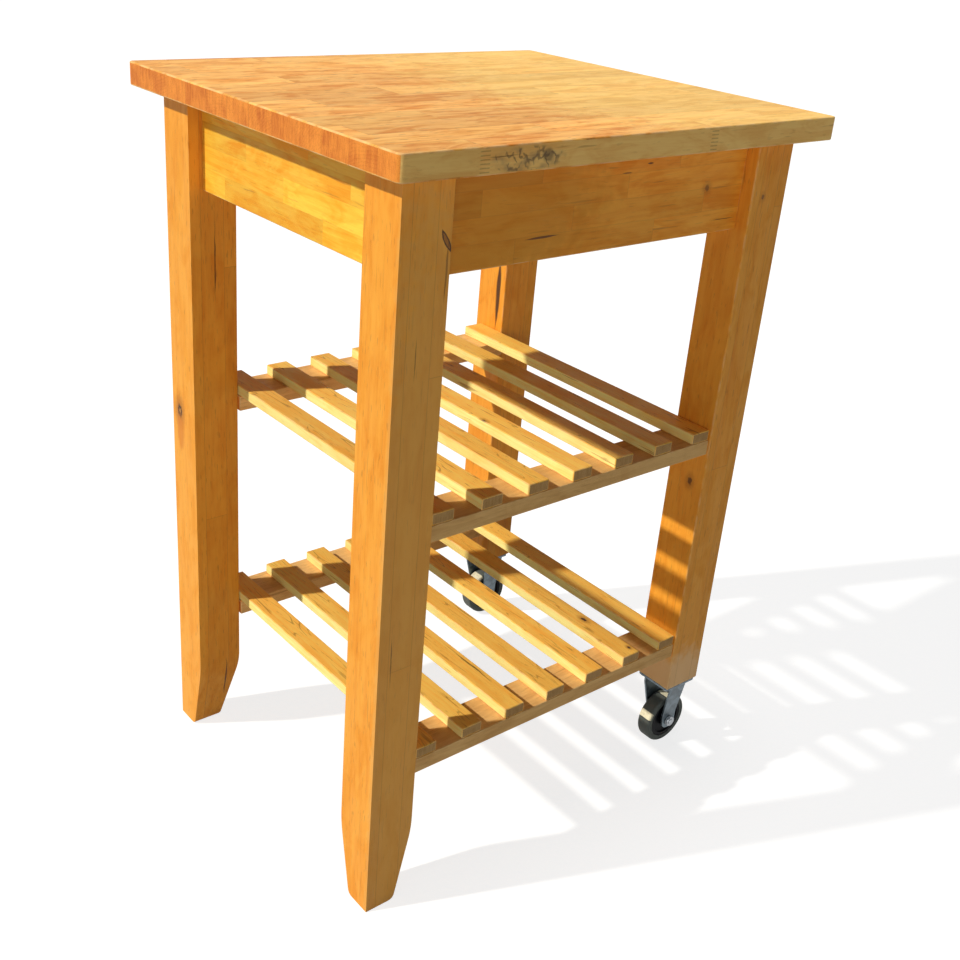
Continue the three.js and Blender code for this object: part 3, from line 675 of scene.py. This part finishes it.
def choose(piece, kind, test):
    """In edit mode, leaves selected just the vertices, edges or faces that pass the test."""
    bpy.ops.mesh.select_mode(type={"verts": "VERT", "edges": "EDGE", "faces": "FACE"}[kind])
    bpy.ops.mesh.select_all(action="DESELECT")
    mesh = bmesh.from_edit_mesh(piece.data)
    for item in getattr(mesh, kind):
        if test(item):
            item.select_set(True)
    bmesh.update_edit_mesh(piece.data)


def modify(piece, kind, **settings):
    """Adds a modifier and applies it."""
    pick(piece)
    bpy.ops.object.modifier_add(type=kind)
    modifier = piece.modifiers[-1]
    for key, value in settings.items():
        setattr(modifier, key, value)
    bpy.ops.object.modifier_apply(modifier=modifier.name)


def combine(piece, other, operation):
    """Cuts, trims or joins a piece by another, which goes."""
    modify(piece, "BOOLEAN", operation=operation, object=other, solver="EXACT")
    bpy.data.objects.remove(other)


def bevel(piece, width, segments, angle, **settings):
    """Bevels the edges that turn by more than the angle, in degrees."""
    settings |= {"width": width, "segments": segments, "angle_limit": math.radians(angle)}
    modify(piece, "BEVEL", limit_method="ANGLE", **settings)


def soften(piece, radius, segments=3, slot=-1, angle=30):
    """Rounds the piece's edges, and shades it smooth between them."""
    bevel(piece, radius, segments, angle, material=slot, use_clamp_overlap=True)
    smooth(piece)


def smooth(piece, angle=35):
    pick(piece)
    bpy.ops.object.shade_smooth_by_angle(angle=math.radians(angle))
    modify(piece, "WEIGHTED_NORMAL", keep_sharp=True)


def give(piece, finish):
    """Gives a piece the materials of one of the finishes, and takes away those that it has."""
    piece.data.materials.clear()
    for material in finishes()[finish]:
        piece.data.materials.append(material)


def lay_grain(piece, axis, corner):
    """Stores how far each point lies along, across and into the board, from its corner."""
    along, across, depth = GRAIN_ORDER[axis]
    laid = [vertex.co - corner for vertex in piece.data.vertices]
    grain = piece.data.attributes.new("grain", "FLOAT_VECTOR", "POINT").data
    for point, offset in zip(grain, laid):
        point.vector = (offset[along], offset[across], offset[depth])


def mark_ends(piece, axis, edge_axis=None):
    """Gives the faces across the grain their end grain, and the narrow sides their own finish."""
    for face in piece.data.polygons:
        if face.material_index == ARRIS:
            continue
        if abs(face.normal["XYZ".index(axis)]) > END_FACING:
            face.material_index = END
        elif edge_axis and abs(face.normal["XYZ".index(edge_axis)]) > END_FACING:
            face.material_index = EDGE


def copies(first, nodes):
    """The first of some like pieces, and a copy of it with its own mesh for each other node."""
    yield nodes[0], first
    for node in nodes[1:]:
        mesh = first.data.copy()
        mesh.transform(Matrix.Translation(middle_of(node) - middle_of(nodes[0])))
        mesh.name = first.name.replace(nodes[0], node)
        piece = bpy.data.objects.new(mesh.name, mesh)
        bpy.context.scene.collection.objects.link(piece)
        yield node, piece


def finish_piece(piece, node, body="frame"):
    """Has a piece stand for its node, and move with a body."""
    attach(piece, body)
    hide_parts(node)


# -------------------- shared finishes


@cache
def finishes():
    """Every finish of the cart, made once."""
    tint = bpy.context.scene.cart_finish
    top = Boards(
        tuple(tint.top_light), tuple(tint.top_deep),
        stave_width=0.042, stave_length=0.2926, first_row=0.011, first_joint=0.2026,
        mottle=0.64, mottle_scale=(15, 52, 52), figure=0.14, streak=0.28, fleck=0.42, vein=0.45,
        gloss=0.15, fleck_scale=(75, 330, 330),
        # Painted sheen: the right part of the worktop is made lighter and yellower
        marks=(StainAndSheen((0.22, 0.0, 0.85), (0.26, 0.40, 0.10), (1.0, 0.76, 0.21), 0.36),),
    )
    top_edge = replace(
        top, light=(0.99, 0.63, 0.20), deep=(0.86, 0.45, 0.12), fleck=0.12,
        marks=(
            Spalt((-0.153, -0.250, 0.8365), (0.046, 0.012, 0.012), 0.66),
            Comb((0.0926, -0.250, 0.8370), 0.0055, 0.0036),
            Comb((-0.2010, -0.250, 0.8370), 0.0060, 0.0036),
            StainAndSheen((-0.129, -0.250, 0.838), (0.007, 0.01, 0.006), (0.08, 0.05, 0.03), 0.6),
            Crack((-0.180, -0.250, 0.8405), (0.024, 0.012, 0.0007), 0, 2, 0.6),
        ),
    )
    frame_wood = Boards(tuple(tint.frame_light), tuple(tint.frame_deep))
    leg = replace(
        frame_wood, stave_width=0.0287, stave_length=0.83, first_row=0.0162, stave_contrast=0.10,
        fleck=0.28, mottle=0.34, figure=0.26, streak=0.26, vein=0.28,
        marks=(
            StainAndSheen((-0.2280, -0.2220, 0.330), (0.070, 0.009, 0.60), (0.75, 0.38, 0.088), 0.55),
            Knot((-0.264, 0.2026, 0.4516), (0.008, 0.0062, 0.0115), eye=0.7),
            StainAndSheen((-0.264, 0.2020, 0.425), (0.010, 0.009, 0.026), (0.66, 0.20, 0.014), 0.7),
            Leaf((-0.2128, -0.2200, 0.7628), 0.0027, 0.0098, 0.52),
            StainAndSheen((0.225, -0.205, 0.120), (0.06, 0.06, 0.055), (0.92, 0.58, 0.28), 0.80),
            Crack((-0.2105, -0.2205, 0.735), (0.0016, 0.006, 0.040), 2, 0, 0.55),
            Knot((0.2254, -0.2205, 0.7621), (0.0026, 0.006, 0.0036), 0.6),
            Knot((0.2065, -0.2000, 0.4122), (0.006, 0.0040, 0.0062), 0.8),
            Crack((0.2065, 0.1785, 0.540), (0.006, 0.0050, 0.075), 2, 1, 0.95),
            Crack((0.2065, 0.1800, 0.640), (0.006, 0.0024, 0.060), 2, 1, 0.7),
            Crack((-0.2345, 0.1650, 0.640), (0.0011, 0.006, 0.060), 2, 0, 0.8),
            Crack((-0.2250, 0.1700, 0.070), (0.0016, 0.012, 0.045), 2, 0, 0.9),
            Crack((-0.2480, -0.2205, 0.330), (0.0009, 0.006, 0.045), 2, 0, 0.6),
            Crack((-0.2400, -0.2205, 0.655), (0.0008, 0.006, 0.030), 2, 0, 0.6),
        ),
    )
    apron = replace(
        frame_wood, stave_width=0.025, stave_length=0.19, first_joint=0.1006, tooth_depth=0.0,
        stave_contrast=0.18, fleck=0.15, seam=0.16, joint=0.22,
        marks=(
            StainAndSheen((-0.155, -0.2045, 0.790), (0.16, 0.02, 0.09), (0.54, 0.21, 0.011), 0.5),
            Crack((-0.083, -0.2045, 0.7475), (0.030, 0.006, 0.0017), 0, 2, 0.85, 0.0012),
            Crack((0.183, -0.2045, 0.7385), (0.026, 0.006, 0.0008), 0, 2, 0.7, 0.0012),
            Crack((0.0561, -0.2045, 0.8080), (0.006, 0.006, 0.0011), 0, 2, 0.9, 0.0006),
            Crack((0.0240, -0.2045, 0.8005), (0.010, 0.006, 0.0009), 0, 2, 0.7, 0.0006),
            Knot((0.1486, -0.2045, 0.775), (0.0042, 0.006, 0.0040), 0.6),
        ),
    )
    left_apron = replace(
        apron, light=(1.00, 0.60, 0.060), deep=(0.93, 0.37, 0.016), stave_contrast=0.20,
        mottle=0.62, seam=0.08, joint=0.08,
        marks=(Knot((-0.2485, -0.152, 0.770), (0.006, 0.0030, 0.0030), 0.6),),
    )
    slat = Boards(
        tuple(tint.slat_light), tuple(tint.slat_deep), mottle=0.28, figure=0.40, vein=0.60,
        curl=0.50, fleck=0.25, gloss=0.10,
        marks=(
            Knot((-0.0149, -0.0634, 0.4875), (0.0040, 0.0050, 0.006)),
            Knot((0.1321, -0.1268, 0.2000), (0.0030, 0.0060, 0.006)),
            Knot((0.1357, -0.2046, 0.2000), (0.0020, 0.0032, 0.006)),
            Crack((-0.0560, -0.1300, 0.2000), (0.0012, 0.052, 0.006), 1, 0, 0.8),
            Crack((-0.0660, -0.0400, 0.2000), (0.0009, 0.030, 0.006), 1, 0, 0.6),
            Crack((-0.1330, -0.0900, 0.2000), (0.0010, 0.034, 0.006), 1, 0, 0.6),
            Crack((0.0110, -0.0300, 0.2000), (0.0009, 0.040, 0.006), 1, 0, 0.6),
            Crack((-0.1250, -0.0200, 0.4875), (0.0009, 0.030, 0.006), 1, 0, 0.6),
        ),
    )
    edge = replace(
        slat, light=tuple(tint.slat_edge), deep=(0.96, 0.66, 0.18), mottle=0.35, curl=0.0,
        fleck=0.08, marks=(),
    )
    batten = replace(
        frame_wood, light=(0.88, 0.54, 0.21), deep=(0.68, 0.36, 0.12), figure=0.30, fleck=0.2,
        gloss=0.1,
    )
    slat_end = {"ruddy": (0.32, 0.165, 0.045), "pale": (0.48, 0.28, 0.10)}
    axles = [tuple(middle_of(f"caster_tyre_{side}")) for side in SIDES]
    strips = ((-11, 5), (58, 75)), ((20, 45),)
    rubber_front, rubber_back = (
        tread_rubber(f"tread_rubber_{side}", tuple(tint.rubber), axle, on_tread)
        for side, axle, on_tread in zip(SIDES, axles, strips)
    )
    return {
        "top": wood_set("oiled_birch_top", top, top_edge),
        "leg": wood_set("oiled_birch_leg", leg, worn=0.25),
        "apron": wood_set("oiled_birch_apron", apron),
        "left_apron": wood_set("oiled_birch_left_apron", left_apron),
        "batten": wood_set("oiled_birch_batten", batten),
        "slat": wood_set("oiled_birch_slat", slat, edge, **slat_end),
        "zinc": [zinc_plate("zinc_plate", tuple(tint.zinc))],
        "steel": [screw_steel("screw_steel", tuple(tint.steel))],
        "rubber_front": [rubber_front],
        "rubber_back": [rubber_back],
        "plastic": [moulded_plastic("moulded_plastic", tuple(tint.plastic))],
    }


# -------------------- wooden pieces


def dress_board(board, wood, arris, grain_axis, corner, edge_axis=None):
    """Gives a board its finish, softens its edges, and lays its grain from its corner."""
    give(board, wood)
    soften(board, arris, slot=ARRIS)
    lay_grain(board, grain_axis, corner)
    mark_ends(board, grain_axis[0], edge_axis)


def finish_board(board, node, seed):
    """Gives a board its own stretch of wood, by a seed, and its node's place."""
    if "seed" not in board.data.attributes:
        board.data.attributes.new("seed", "FLOAT", "POINT")
    for point in board.data.attributes["seed"].data:
        point.value = seed
    finish_piece(board, node)


class CART_OT_worktop(bpy.types.Operator):
    """Shapes the stave top: rounded corners and a worn arris"""

    bl_idname = "cart.worktop"
    bl_label = "Worktop"

    def execute(self, context):
        shape = context.scene.cart_shape
        low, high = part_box("table_top")
        top = bar("worktop", low, high)
        with editing(top):
            choose(top, "edges", lambda edge: abs((edge.verts[0].co - edge.verts[1].co).z) > UPRIGHT)
            bpy.ops.mesh.bevel(offset=shape.top_corner, segments=6, affect="EDGES")
        dress_board(top, "top", shape.top_arris, "X", low, "Y")
        finish_board(top, "table_top", 1.0)
        return {"FINISHED"}


def taper_steps(shape):
    """Heights, from the top of the taper to the floor, and how deep it cuts there."""
    straight_top = shape.taper_height - shape.taper_ease / 2
    ease_end = shape.taper_height - shape.taper_ease

    def straight(z):
        return shape.taper_depth * (1 - z / straight_top)

    def curve(start, control, end, count):
        for step in range(1, count + 1):
            t = step / count
            first, second, third = (1 - t) ** 2, 2 * t * (1 - t), t * t
            points = zip(start, control, end)
            yield tuple(first * a + second * b + third * c for a, b, c in points)

    yield from curve((shape.taper_height, 0), (straight_top, 0), (ease_end, straight(ease_end)), 6)
    toe_start = (shape.toe, straight(shape.toe))
    yield toe_start
    sole = shape.taper_depth + shape.toe
    yield from curve(toe_start, (0, shape.taper_depth), (0, sole), 7)


def taper(leg, shape, outer, width):
    """Draws the leg down to the floor from its lower end, drawing in its two inner faces."""
    height, depth = shape.taper_height, 0.0
    choose(leg, "faces", lambda face: face.normal.z < -FACING)
    for new_height, new_depth in taper_steps(shape):
        move = {"value": (0, 0, new_height - height)}
        bpy.ops.mesh.extrude_region_move(TRANSFORM_OT_translate=move)
        scale = [(width[i] - new_depth) / (width[i] - depth) for i in range(2)]
        centre = (outer.x, outer.y, new_height)
        bpy.ops.transform.resize(value=(*scale, 1), center_override=centre)
        height, depth = new_height, new_depth


class CART_OT_legs(bpy.types.Operator):
    """Shapes the four legs: two tapered to the floor, two cut short for the casters"""

    bl_idname = "cart.legs"
    bl_label = "Legs"

    def execute(self, context):
        shape = context.scene.cart_shape
        for number, corner in enumerate(CORNERS):
            node = f"leg_{corner}"
            low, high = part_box(node)
            start = low.copy()
            tapered = corner.endswith("left")
            if tapered:
                start.z = shape.taper_height
            leg = bar(f"birch_{node}", start, high)
            if tapered:
                outer = Vector([max(low[i], high[i], key=abs) for i in range(2)]).to_3d()
                with editing(leg):
                    taper(leg, shape, outer, high - low)
            dress_board(leg, "leg", shape.leg_arris, "Z", low)
            finish_board(leg, node, 1.7 * number + 0.6)
        return {"FINISHED"}


class CART_OT_aprons(bpy.types.Operator):
    """Shapes the aprons, with screw pockets in the two long ones"""

    bl_idname = "cart.aprons"
    bl_label = "Aprons"

    def execute(self, context):
        shape = context.scene.cart_shape
        leg_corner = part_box("leg_back_right")[0]
        for number, side in enumerate(SIDES + ENDS):
            node = f"apron_{side}"
            low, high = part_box(node)
            run = 0 if side in SIDES else 1
            high[run] = leg_corner[run] - CLEARANCE
            low[run] = -high[run]
            apron = bar(f"birch_{node}", low, high)
            if run == 0:
                self.pockets(apron, side, shape)
            wood = "left_apron" if side == "left" else "apron"
            dress_board(apron, wood, shape.apron_arris, "XY"[run] + " upright", low)
            finish_board(apron, node, 2.3 * number + 0.45)
        return {"FINISHED"}

    def pockets(self, apron, side, shape):
        for end in ENDS:
            foot = middle_of(f"top_screw_{side}_{end}")
            foot.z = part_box(f"apron_{side}")[0].z
            top = foot + Vector((0, 0, shape.pocket_depth))
            combine(apron, rod("pocket", foot - OVERCUT, top, shape.pocket_radius), "DIFFERENCE")


class CART_OT_battens(bpy.types.Operator):
    """Shapes the flat battens that carry the shelves"""

    bl_idname = "cart.battens"
    bl_label = "Shelf battens"

    def execute(self, context):
        shape = context.scene.cart_shape
        nodes = [f"batten_{shelf}_{side}" for shelf in SHELVES for side in SIDES]
        low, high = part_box(nodes[0])
        high.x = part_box("leg_back_right")[0].x - CLEARANCE
        low.x = -high.x
        batten = bar(f"birch_{nodes[0]}", low, high)
        dress_board(batten, "batten", shape.slat_arris, "X", low)
        for number, (node, piece) in enumerate(copies(batten, nodes)):
            finish_board(piece, node, 3.1 * number + 0.9)
        return {"FINISHED"}


class CART_OT_slats(bpy.types.Operator):
    """Shapes the slats of both shelves"""

    bl_idname = "cart.slats"
    bl_label = "Slats"

    def execute(self, context):
        shape = context.scene.cart_shape
        seeds = {
            f"slat_{shelf}_{number}": 4.1 * number + 29.7 * shelf_number
            for shelf_number, shelf in enumerate(SHELVES) for number in SLATS
        }
        nodes = list(seeds)
        low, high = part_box(nodes[0])
        slat = bar(f"birch_{nodes[0]}", low, high)
        dress_board(slat, "slat", shape.slat_arris, "Y", low, "X")
        for node, piece in copies(slat, nodes):
            finish_board(piece, node, seeds[node])
        return {"FINISHED"}


# -------------------- casters


# Rounding of the edges of each kind of piece
PRESSED_ARRIS, BRACE_ARRIS, BOLT_ARRIS, MOULDED_ARRIS = 0.0005, 0.0004, 0.0002, 0.0005

# The rims of a tyre's tread lie past this share of its radius, and rise this little along Y
NEAR_TREAD, LEVEL = 0.99, 1e-5

# A tyre's flat side looks along Y more than its shoulder does, and carries a shallow step
SIDE_FACING, STEP_WIDTH, STEP_DEPTH = 0.98, 0.0010, 0.0004

# How much narrower a rim is than its tyre, and how much room its bore leaves for the sleeve
RIM_SETBACK, SLEEVE_CLEARANCE = 0.001, 0.0001

# Facets round a wheel or a tyre. The middle one of its end faces lies this near the axle
ROUND_FACETS, BORE_REACH = 96, 0.001


def solid_copy(node, name):
    """A copy of a solid, its vertices merged and its flat faces made whole."""
    piece = bpy.data.objects.new(name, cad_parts[node].data.copy())
    piece.data.name = name
    bpy.context.scene.collection.objects.link(piece)
    with editing(piece):
        bpy.ops.mesh.customdata_custom_splitnormals_clear()
        bpy.ops.mesh.select_all(action="SELECT")
        bpy.ops.mesh.remove_doubles(threshold=1e-6)
        bpy.ops.mesh.dissolve_limited(angle_limit=math.radians(0.5))
    return piece


def plated_copy(node, arris, angle):
    """A zinc plated piece with the shape of its solid and softened edges."""
    piece = solid_copy(node, f"zinc_{node}")
    give(piece, "zinc")
    soften(piece, arris, 2, angle=angle)
    finish_piece(piece, node)


class CART_OT_brackets(bpy.types.Operator):
    """Shapes the pressed caster brackets: plate and fork with softened edges"""

    bl_idname = "cart.brackets"
    bl_label = "Caster brackets"

    def execute(self, context):
        for side in SIDES:
            plated_copy(f"caster_bracket_{side}", PRESSED_ARRIS, 40)
        return {"FINISHED"}


def round_size(node):
    """Radius and width of a round solid that lies along Y."""
    low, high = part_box(node)
    return (high.z - low.z) / 2, high.y - low.y


def drum(name, node, radius, width):
    """A cylinder across the cart, about the middle of a round solid."""
    half = Vector((0, width / 2, 0))
    middle = middle_of(node)
    return rod(name, middle - half, middle + half, radius, ROUND_FACETS), middle


def open_bore(piece, middle):
    """Takes away the middle face at each end and joins their rims."""
    choose(piece, "faces", lambda face: (
        (face.calc_center_median() - middle).xz.length < BORE_REACH and abs(face.normal.y) > FACING
    ))
    bpy.ops.mesh.delete(type="FACE")
    choose(piece, "edges", lambda edge: edge.is_boundary)
    bpy.ops.mesh.bridge_edge_loops()


class CART_OT_tyres(bpy.types.Operator):
    """Shapes the rubber tyres: rounded shoulders and a shallow step on each side"""

    bl_idname = "cart.tyres"
    bl_label = "Tyres"

    def execute(self, context):
        shape = context.scene.cart_shape
        nodes = [f"caster_tyre_{side}" for side in SIDES]
        radius, width = round_size(nodes[0])
        depth = radius - round_size("caster_wheel_front")[0] - CLEARANCE
        tyre, middle = drum(f"rubber_{nodes[0]}", nodes[0], radius, width)
        with editing(tyre):
            choose(tyre, "faces", lambda face: abs(face.normal.y) > FACING)
            bpy.ops.mesh.inset(thickness=depth, use_individual=True)
            open_bore(tyre, middle)
            choose(tyre, "edges", lambda edge: all(
                (v.co - middle).xz.length > radius * NEAR_TREAD for v in edge.verts
            ) and abs((edge.verts[0].co - edge.verts[1].co).y) < LEVEL)
            bpy.ops.mesh.bevel(
                offset=shape.tread_shoulder, segments=7, profile=0.55, affect="EDGES"
            )
            self.side_step(tyre)
        smooth(tyre, 40)
        for side, (node, piece) in zip(SIDES, copies(tyre, nodes)):
            give(piece, f"rubber_{side}")
            finish_piece(piece, node, f"wheel_{side}")
        return {"FINISHED"}

    def side_step(self, tyre):
        """A shallow step on each side, just inside the shoulder."""
        choose(tyre, "faces", lambda face: abs(face.normal.y) > SIDE_FACING)
        bpy.ops.mesh.inset(thickness=STEP_WIDTH)
        move = {"value": -STEP_DEPTH}
        bpy.ops.mesh.extrude_region_shrink_fatten(TRANSFORM_OT_shrink_fatten=move)


class CART_OT_wheels(bpy.types.Operator):
    """Shapes the moulded wheels: rim, recessed web and hub"""

    bl_idname = "cart.wheels"
    bl_label = "Wheels"

    def execute(self, context):
        shape = context.scene.cart_shape
        nodes = [f"caster_wheel_{side}" for side in SIDES]
        radius, hub_width = round_size(nodes[0])
        rim_width = round_size("caster_tyre_front")[1] - RIM_SETBACK
        bore = round_size("axle_sleeve_front")[0] + SLEEVE_CLEARANCE
        web_width = radius - shape.wheel_rim - shape.hub_radius
        hub_rise = (hub_width - rim_width) / 2 + shape.wheel_web
        wheel, middle = drum(f"moulded_{nodes[0]}", nodes[0], radius, rim_width)
        with editing(wheel):
            choose(wheel, "faces", lambda face: abs(face.normal.y) > FACING)
            for ring, rise in ((shape.wheel_rim, -shape.wheel_web), (web_width, hub_rise)):
                bpy.ops.mesh.inset(thickness=ring, use_individual=True)
                move = {"value": rise}
                bpy.ops.mesh.extrude_region_shrink_fatten(TRANSFORM_OT_shrink_fatten=move)
            bpy.ops.mesh.inset(thickness=shape.hub_radius - bore, use_individual=True)
            open_bore(wheel, middle)
        give(wheel, "plastic")
        soften(wheel, MOULDED_ARRIS, 2, angle=40)
        for side, (node, piece) in zip(SIDES, copies(wheel, nodes)):
            finish_piece(piece, node, f"wheel_{side}")
        return {"FINISHED"}


# -------------------- bolts, nuts and screws


# Height of a bolt's head, radius of its shank, the shank's chamfer, radius of its nut's bore
BOLT_HEAD, SHANK_RADIUS, SHANK_CHAMFER, NUT_BORE = 0.004, 0.004, 0.0006, 0.0042


def hexagon(name, start, end, flats):
    """A hexagonal block whose ends are chamfered in a circle."""
    corner = flats / math.sqrt(3)
    block = rod(name, start, end, corner, 6)
    rounding = rod("rounding", start, end, corner * 1.002, 64)
    bevel(rounding, flats * 0.08, 1, 40)
    combine(block, rounding, "INTERSECT")
    return block


class CART_OT_axles(bpy.types.Operator):
    """Shapes the axle bolts and their nuts"""

    bl_idname = "cart.axles"
    bl_label = "Axle bolts and nuts"

    def execute(self, context):
        for side_set in zip(self.both("axle_nut", self.nut), self.both("axle_bolt", self.bolt)):
            for node, piece in side_set:
                finish_piece(piece, node)
        return {"FINISHED"}

    def both(self, kind, make):
        """One of a kind for the front caster, and its copy for the back one."""
        nodes = [f"{kind}_{side}" for side in SIDES]
        low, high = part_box(nodes[0])
        first = make(f"steel_{nodes[0]}", low, high, min((high - low).xz))
        give(first, "steel")
        soften(first, BOLT_ARRIS, 2, angle=25)
        return copies(first, nodes)

    def nut(self, name, low, high, flats):
        """A hexagon nut, bored for the bolt."""
        middle = (low + high) / 2
        half = Vector((0, (low.y - high.y) / 2, 0))
        nut = hexagon(name, middle - half, middle + half, flats)
        combine(nut, rod("bore", middle - 2 * half, middle + 2 * half, NUT_BORE), "DIFFERENCE")
        return nut

    def bolt(self, name, low, high, flats):
        """The bolt's head is on the side that faces the back, and its nut faces the front."""
        head_end, tip = (low + high) / 2, (low + high) / 2
        head_end.y, tip.y = high.y, low.y
        head_face = head_end - Vector((0, BOLT_HEAD, 0))
        bolt = hexagon(name, head_end, head_face, flats)
        shank = rod("shank", head_face + Vector((0, BOLT_HEAD / 4, 0)), tip, SHANK_RADIUS)
        bevel(shank, SHANK_CHAMFER, 1, 40)
        combine(bolt, shank, "UNION")
        return bolt


class CART_OT_fasteners(bpy.types.Operator):
    """Shapes the corner braces and finishes the bolts, nuts and screws inside the frame"""

    bl_idname = "cart.fasteners"
    bl_label = "Braces and screws"

    def execute(self, context):
        for corner in CORNERS:
            plated_copy(f"corner_brace_{corner}", BRACE_ARRIS, 25)
        for name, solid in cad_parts.items():
            if name.startswith(("hanger_", "top_screw_", "plate_screw_", "axle_sleeve_")):
                give(solid, "steel")
        return {"FINISHED"}


# -------------------- stage


def pale_floor():
    """A matte floor that the camera and reflections see as white, with its shadow kept."""
    finish = Finish(
        "pale_floor", Base_Color=(0.35, 0.35, 0.35, 1), Roughness=0.9, Specular_IOR_Level=0.1,
        Emission_Strength=1.0,
    )
    rays = ("Is Camera Ray", "Is Glossy Ray", "Is Transmission Ray")
    camera, glossy, through = finish.node("ShaderNodeLightPath", output=rays)
    glow = (camera + glossy + through).math("MINIMUM", 1.0) * 0.79
    finish.feed(finish.shader.inputs["Emission Color"], finish.mix(glow, (0, 0, 0), (1, 1, 1)))
    return finish.material


def soft_world(scene, ambient):
    """Even light from all round, seen as white."""
    scene.world = bpy.data.worlds.new("soft_world")
    scene.world.use_nodes = True
    nodes = Nodes(scene.world.node_tree)
    background = nodes.tree.nodes["Background"].inputs
    background["Color"].default_value = (1, 1, 1, 1)
    camera, glossy = nodes.node("ShaderNodeLightPath", output=("Is Camera Ray", "Is Glossy Ray"))
    inputs = {"Value": camera.math("MAXIMUM", glossy), "To Min": ambient, "To Max": 1.0}
    nodes.feed(background["Strength"], nodes.node("ShaderNodeMapRange", inputs=inputs))


class CART_OT_stage(bpy.types.Operator):
    """Sets the floor, the light and the camera"""

    bl_idname = "cart.stage"
    bl_label = "Stage"

    def execute(self, context):
        scene = context.scene
        stage = scene.cart_stage
        bpy.ops.object.select_all(action="DESELECT")
        bpy.ops.mesh.primitive_plane_add(size=40, location=(0, 0, 0))
        floor = settle("floor")
        floor.data.materials.append(pale_floor())
        soft_world(scene, stage.ambient)
        self.distant_lamp("key", stage.key_from, stage.key_strength, 1.6, (1.0, 0.97, 0.88))
        self.lamp("overhead", (0.0, 0.0, 1.0), stage.overhead, 6.0, 1.5, (1.0, 1.0, 1.0))
        self.lamp("fill", (-0.8, -1.0, 0.14), stage.fill, 8.0, 3.0, (0.90, 0.98, 1.0))
        self.camera(scene, stage)
        scene.view_settings.view_transform = "Standard"
        return {"FINISHED"}

    def lamp(self, name, direction, strength, distance, size, tint):
        """A round soft light. At a strength of 1 it lights a face turned to it as white."""
        lamp = bpy.data.lights.new(name, "AREA")
        lamp.shape = "DISK"
        lamp.size = size
        lamp.energy = strength * math.pi**2 * distance**2
        lamp.color = tint
        self.hang(name, lamp, direction, distance)

    def distant_lamp(self, name, direction, strength, spread, tint):
        """A lamp so far off that it lights all alike, seen that many degrees wide."""
        lamp = bpy.data.lights.new(name, "SUN")
        lamp.angle = math.radians(spread)
        lamp.energy = strength * math.pi
        lamp.color = tint
        self.hang(name, lamp, direction, 12.0)

    def hang(self, name, lamp, direction, distance):
        holder = bpy.data.objects.new(name, lamp)
        direction = Vector(direction).normalized()
        holder.location = Vector((0, 0, 0.45)) + direction * distance
        holder.rotation_euler = direction.to_track_quat("Z", "Y").to_euler()
        bpy.context.scene.collection.objects.link(holder)

    def camera(self, scene, stage):
        camera = bpy.data.cameras.new("camera")
        camera.sensor_width = 36
        camera.lens = stage.lens
        camera.shift_x, camera.shift_y = stage.shift
        holder = bpy.data.objects.new("camera", camera)
        holder.location = stage.camera_place
        holder.rotation_euler = stage.camera_turn
        scene.collection.objects.link(holder)
        scene.camera = holder


# -------------------- add-on

STEPS = (
    CART_OT_stage,
    CART_OT_worktop,
    CART_OT_legs,
    CART_OT_aprons,
    CART_OT_battens,
    CART_OT_slats,
    CART_OT_brackets,
    CART_OT_tyres,
    CART_OT_wheels,
    CART_OT_axles,
    CART_OT_fasteners,
)


class CART_PT_panel(bpy.types.Panel):
    """Lists the cart's pieces and settings"""

    bl_idname = "CART_PT_panel"
    bl_label = "Kitchen Cart"
    bl_space_type = "VIEW_3D"
    bl_region_type = "UI"
    bl_category = "Kitchen Cart"

    def draw(self, context):
        for step in STEPS:
            self.layout.operator(step.bl_idname)
        for group in (getattr(context.scene, name) for name in SETTINGS):
            box = self.layout.box()
            for name in group.__annotations__:
                box.prop(group, name)


SETTINGS = {"cart_shape": CartShape, "cart_finish": CartFinish, "cart_stage": CartStage}


def register():
    for made in (*SETTINGS.values(), *STEPS, CART_PT_panel):
        bpy.utils.register_class(made)
    for name, group in SETTINGS.items():
        setattr(bpy.types.Scene, name, PointerProperty(type=group))


def unregister():
    for name in SETTINGS:
        delattr(bpy.types.Scene, name)
    for made in (*SETTINGS.values(), *STEPS, CART_PT_panel):
        bpy.utils.unregister_class(made)


def main():
    register()
    for step in STEPS:
        group, name = step.bl_idname.split(".")
        getattr(getattr(bpy.ops, group), name)()


if __name__ == "__main__":
    main()
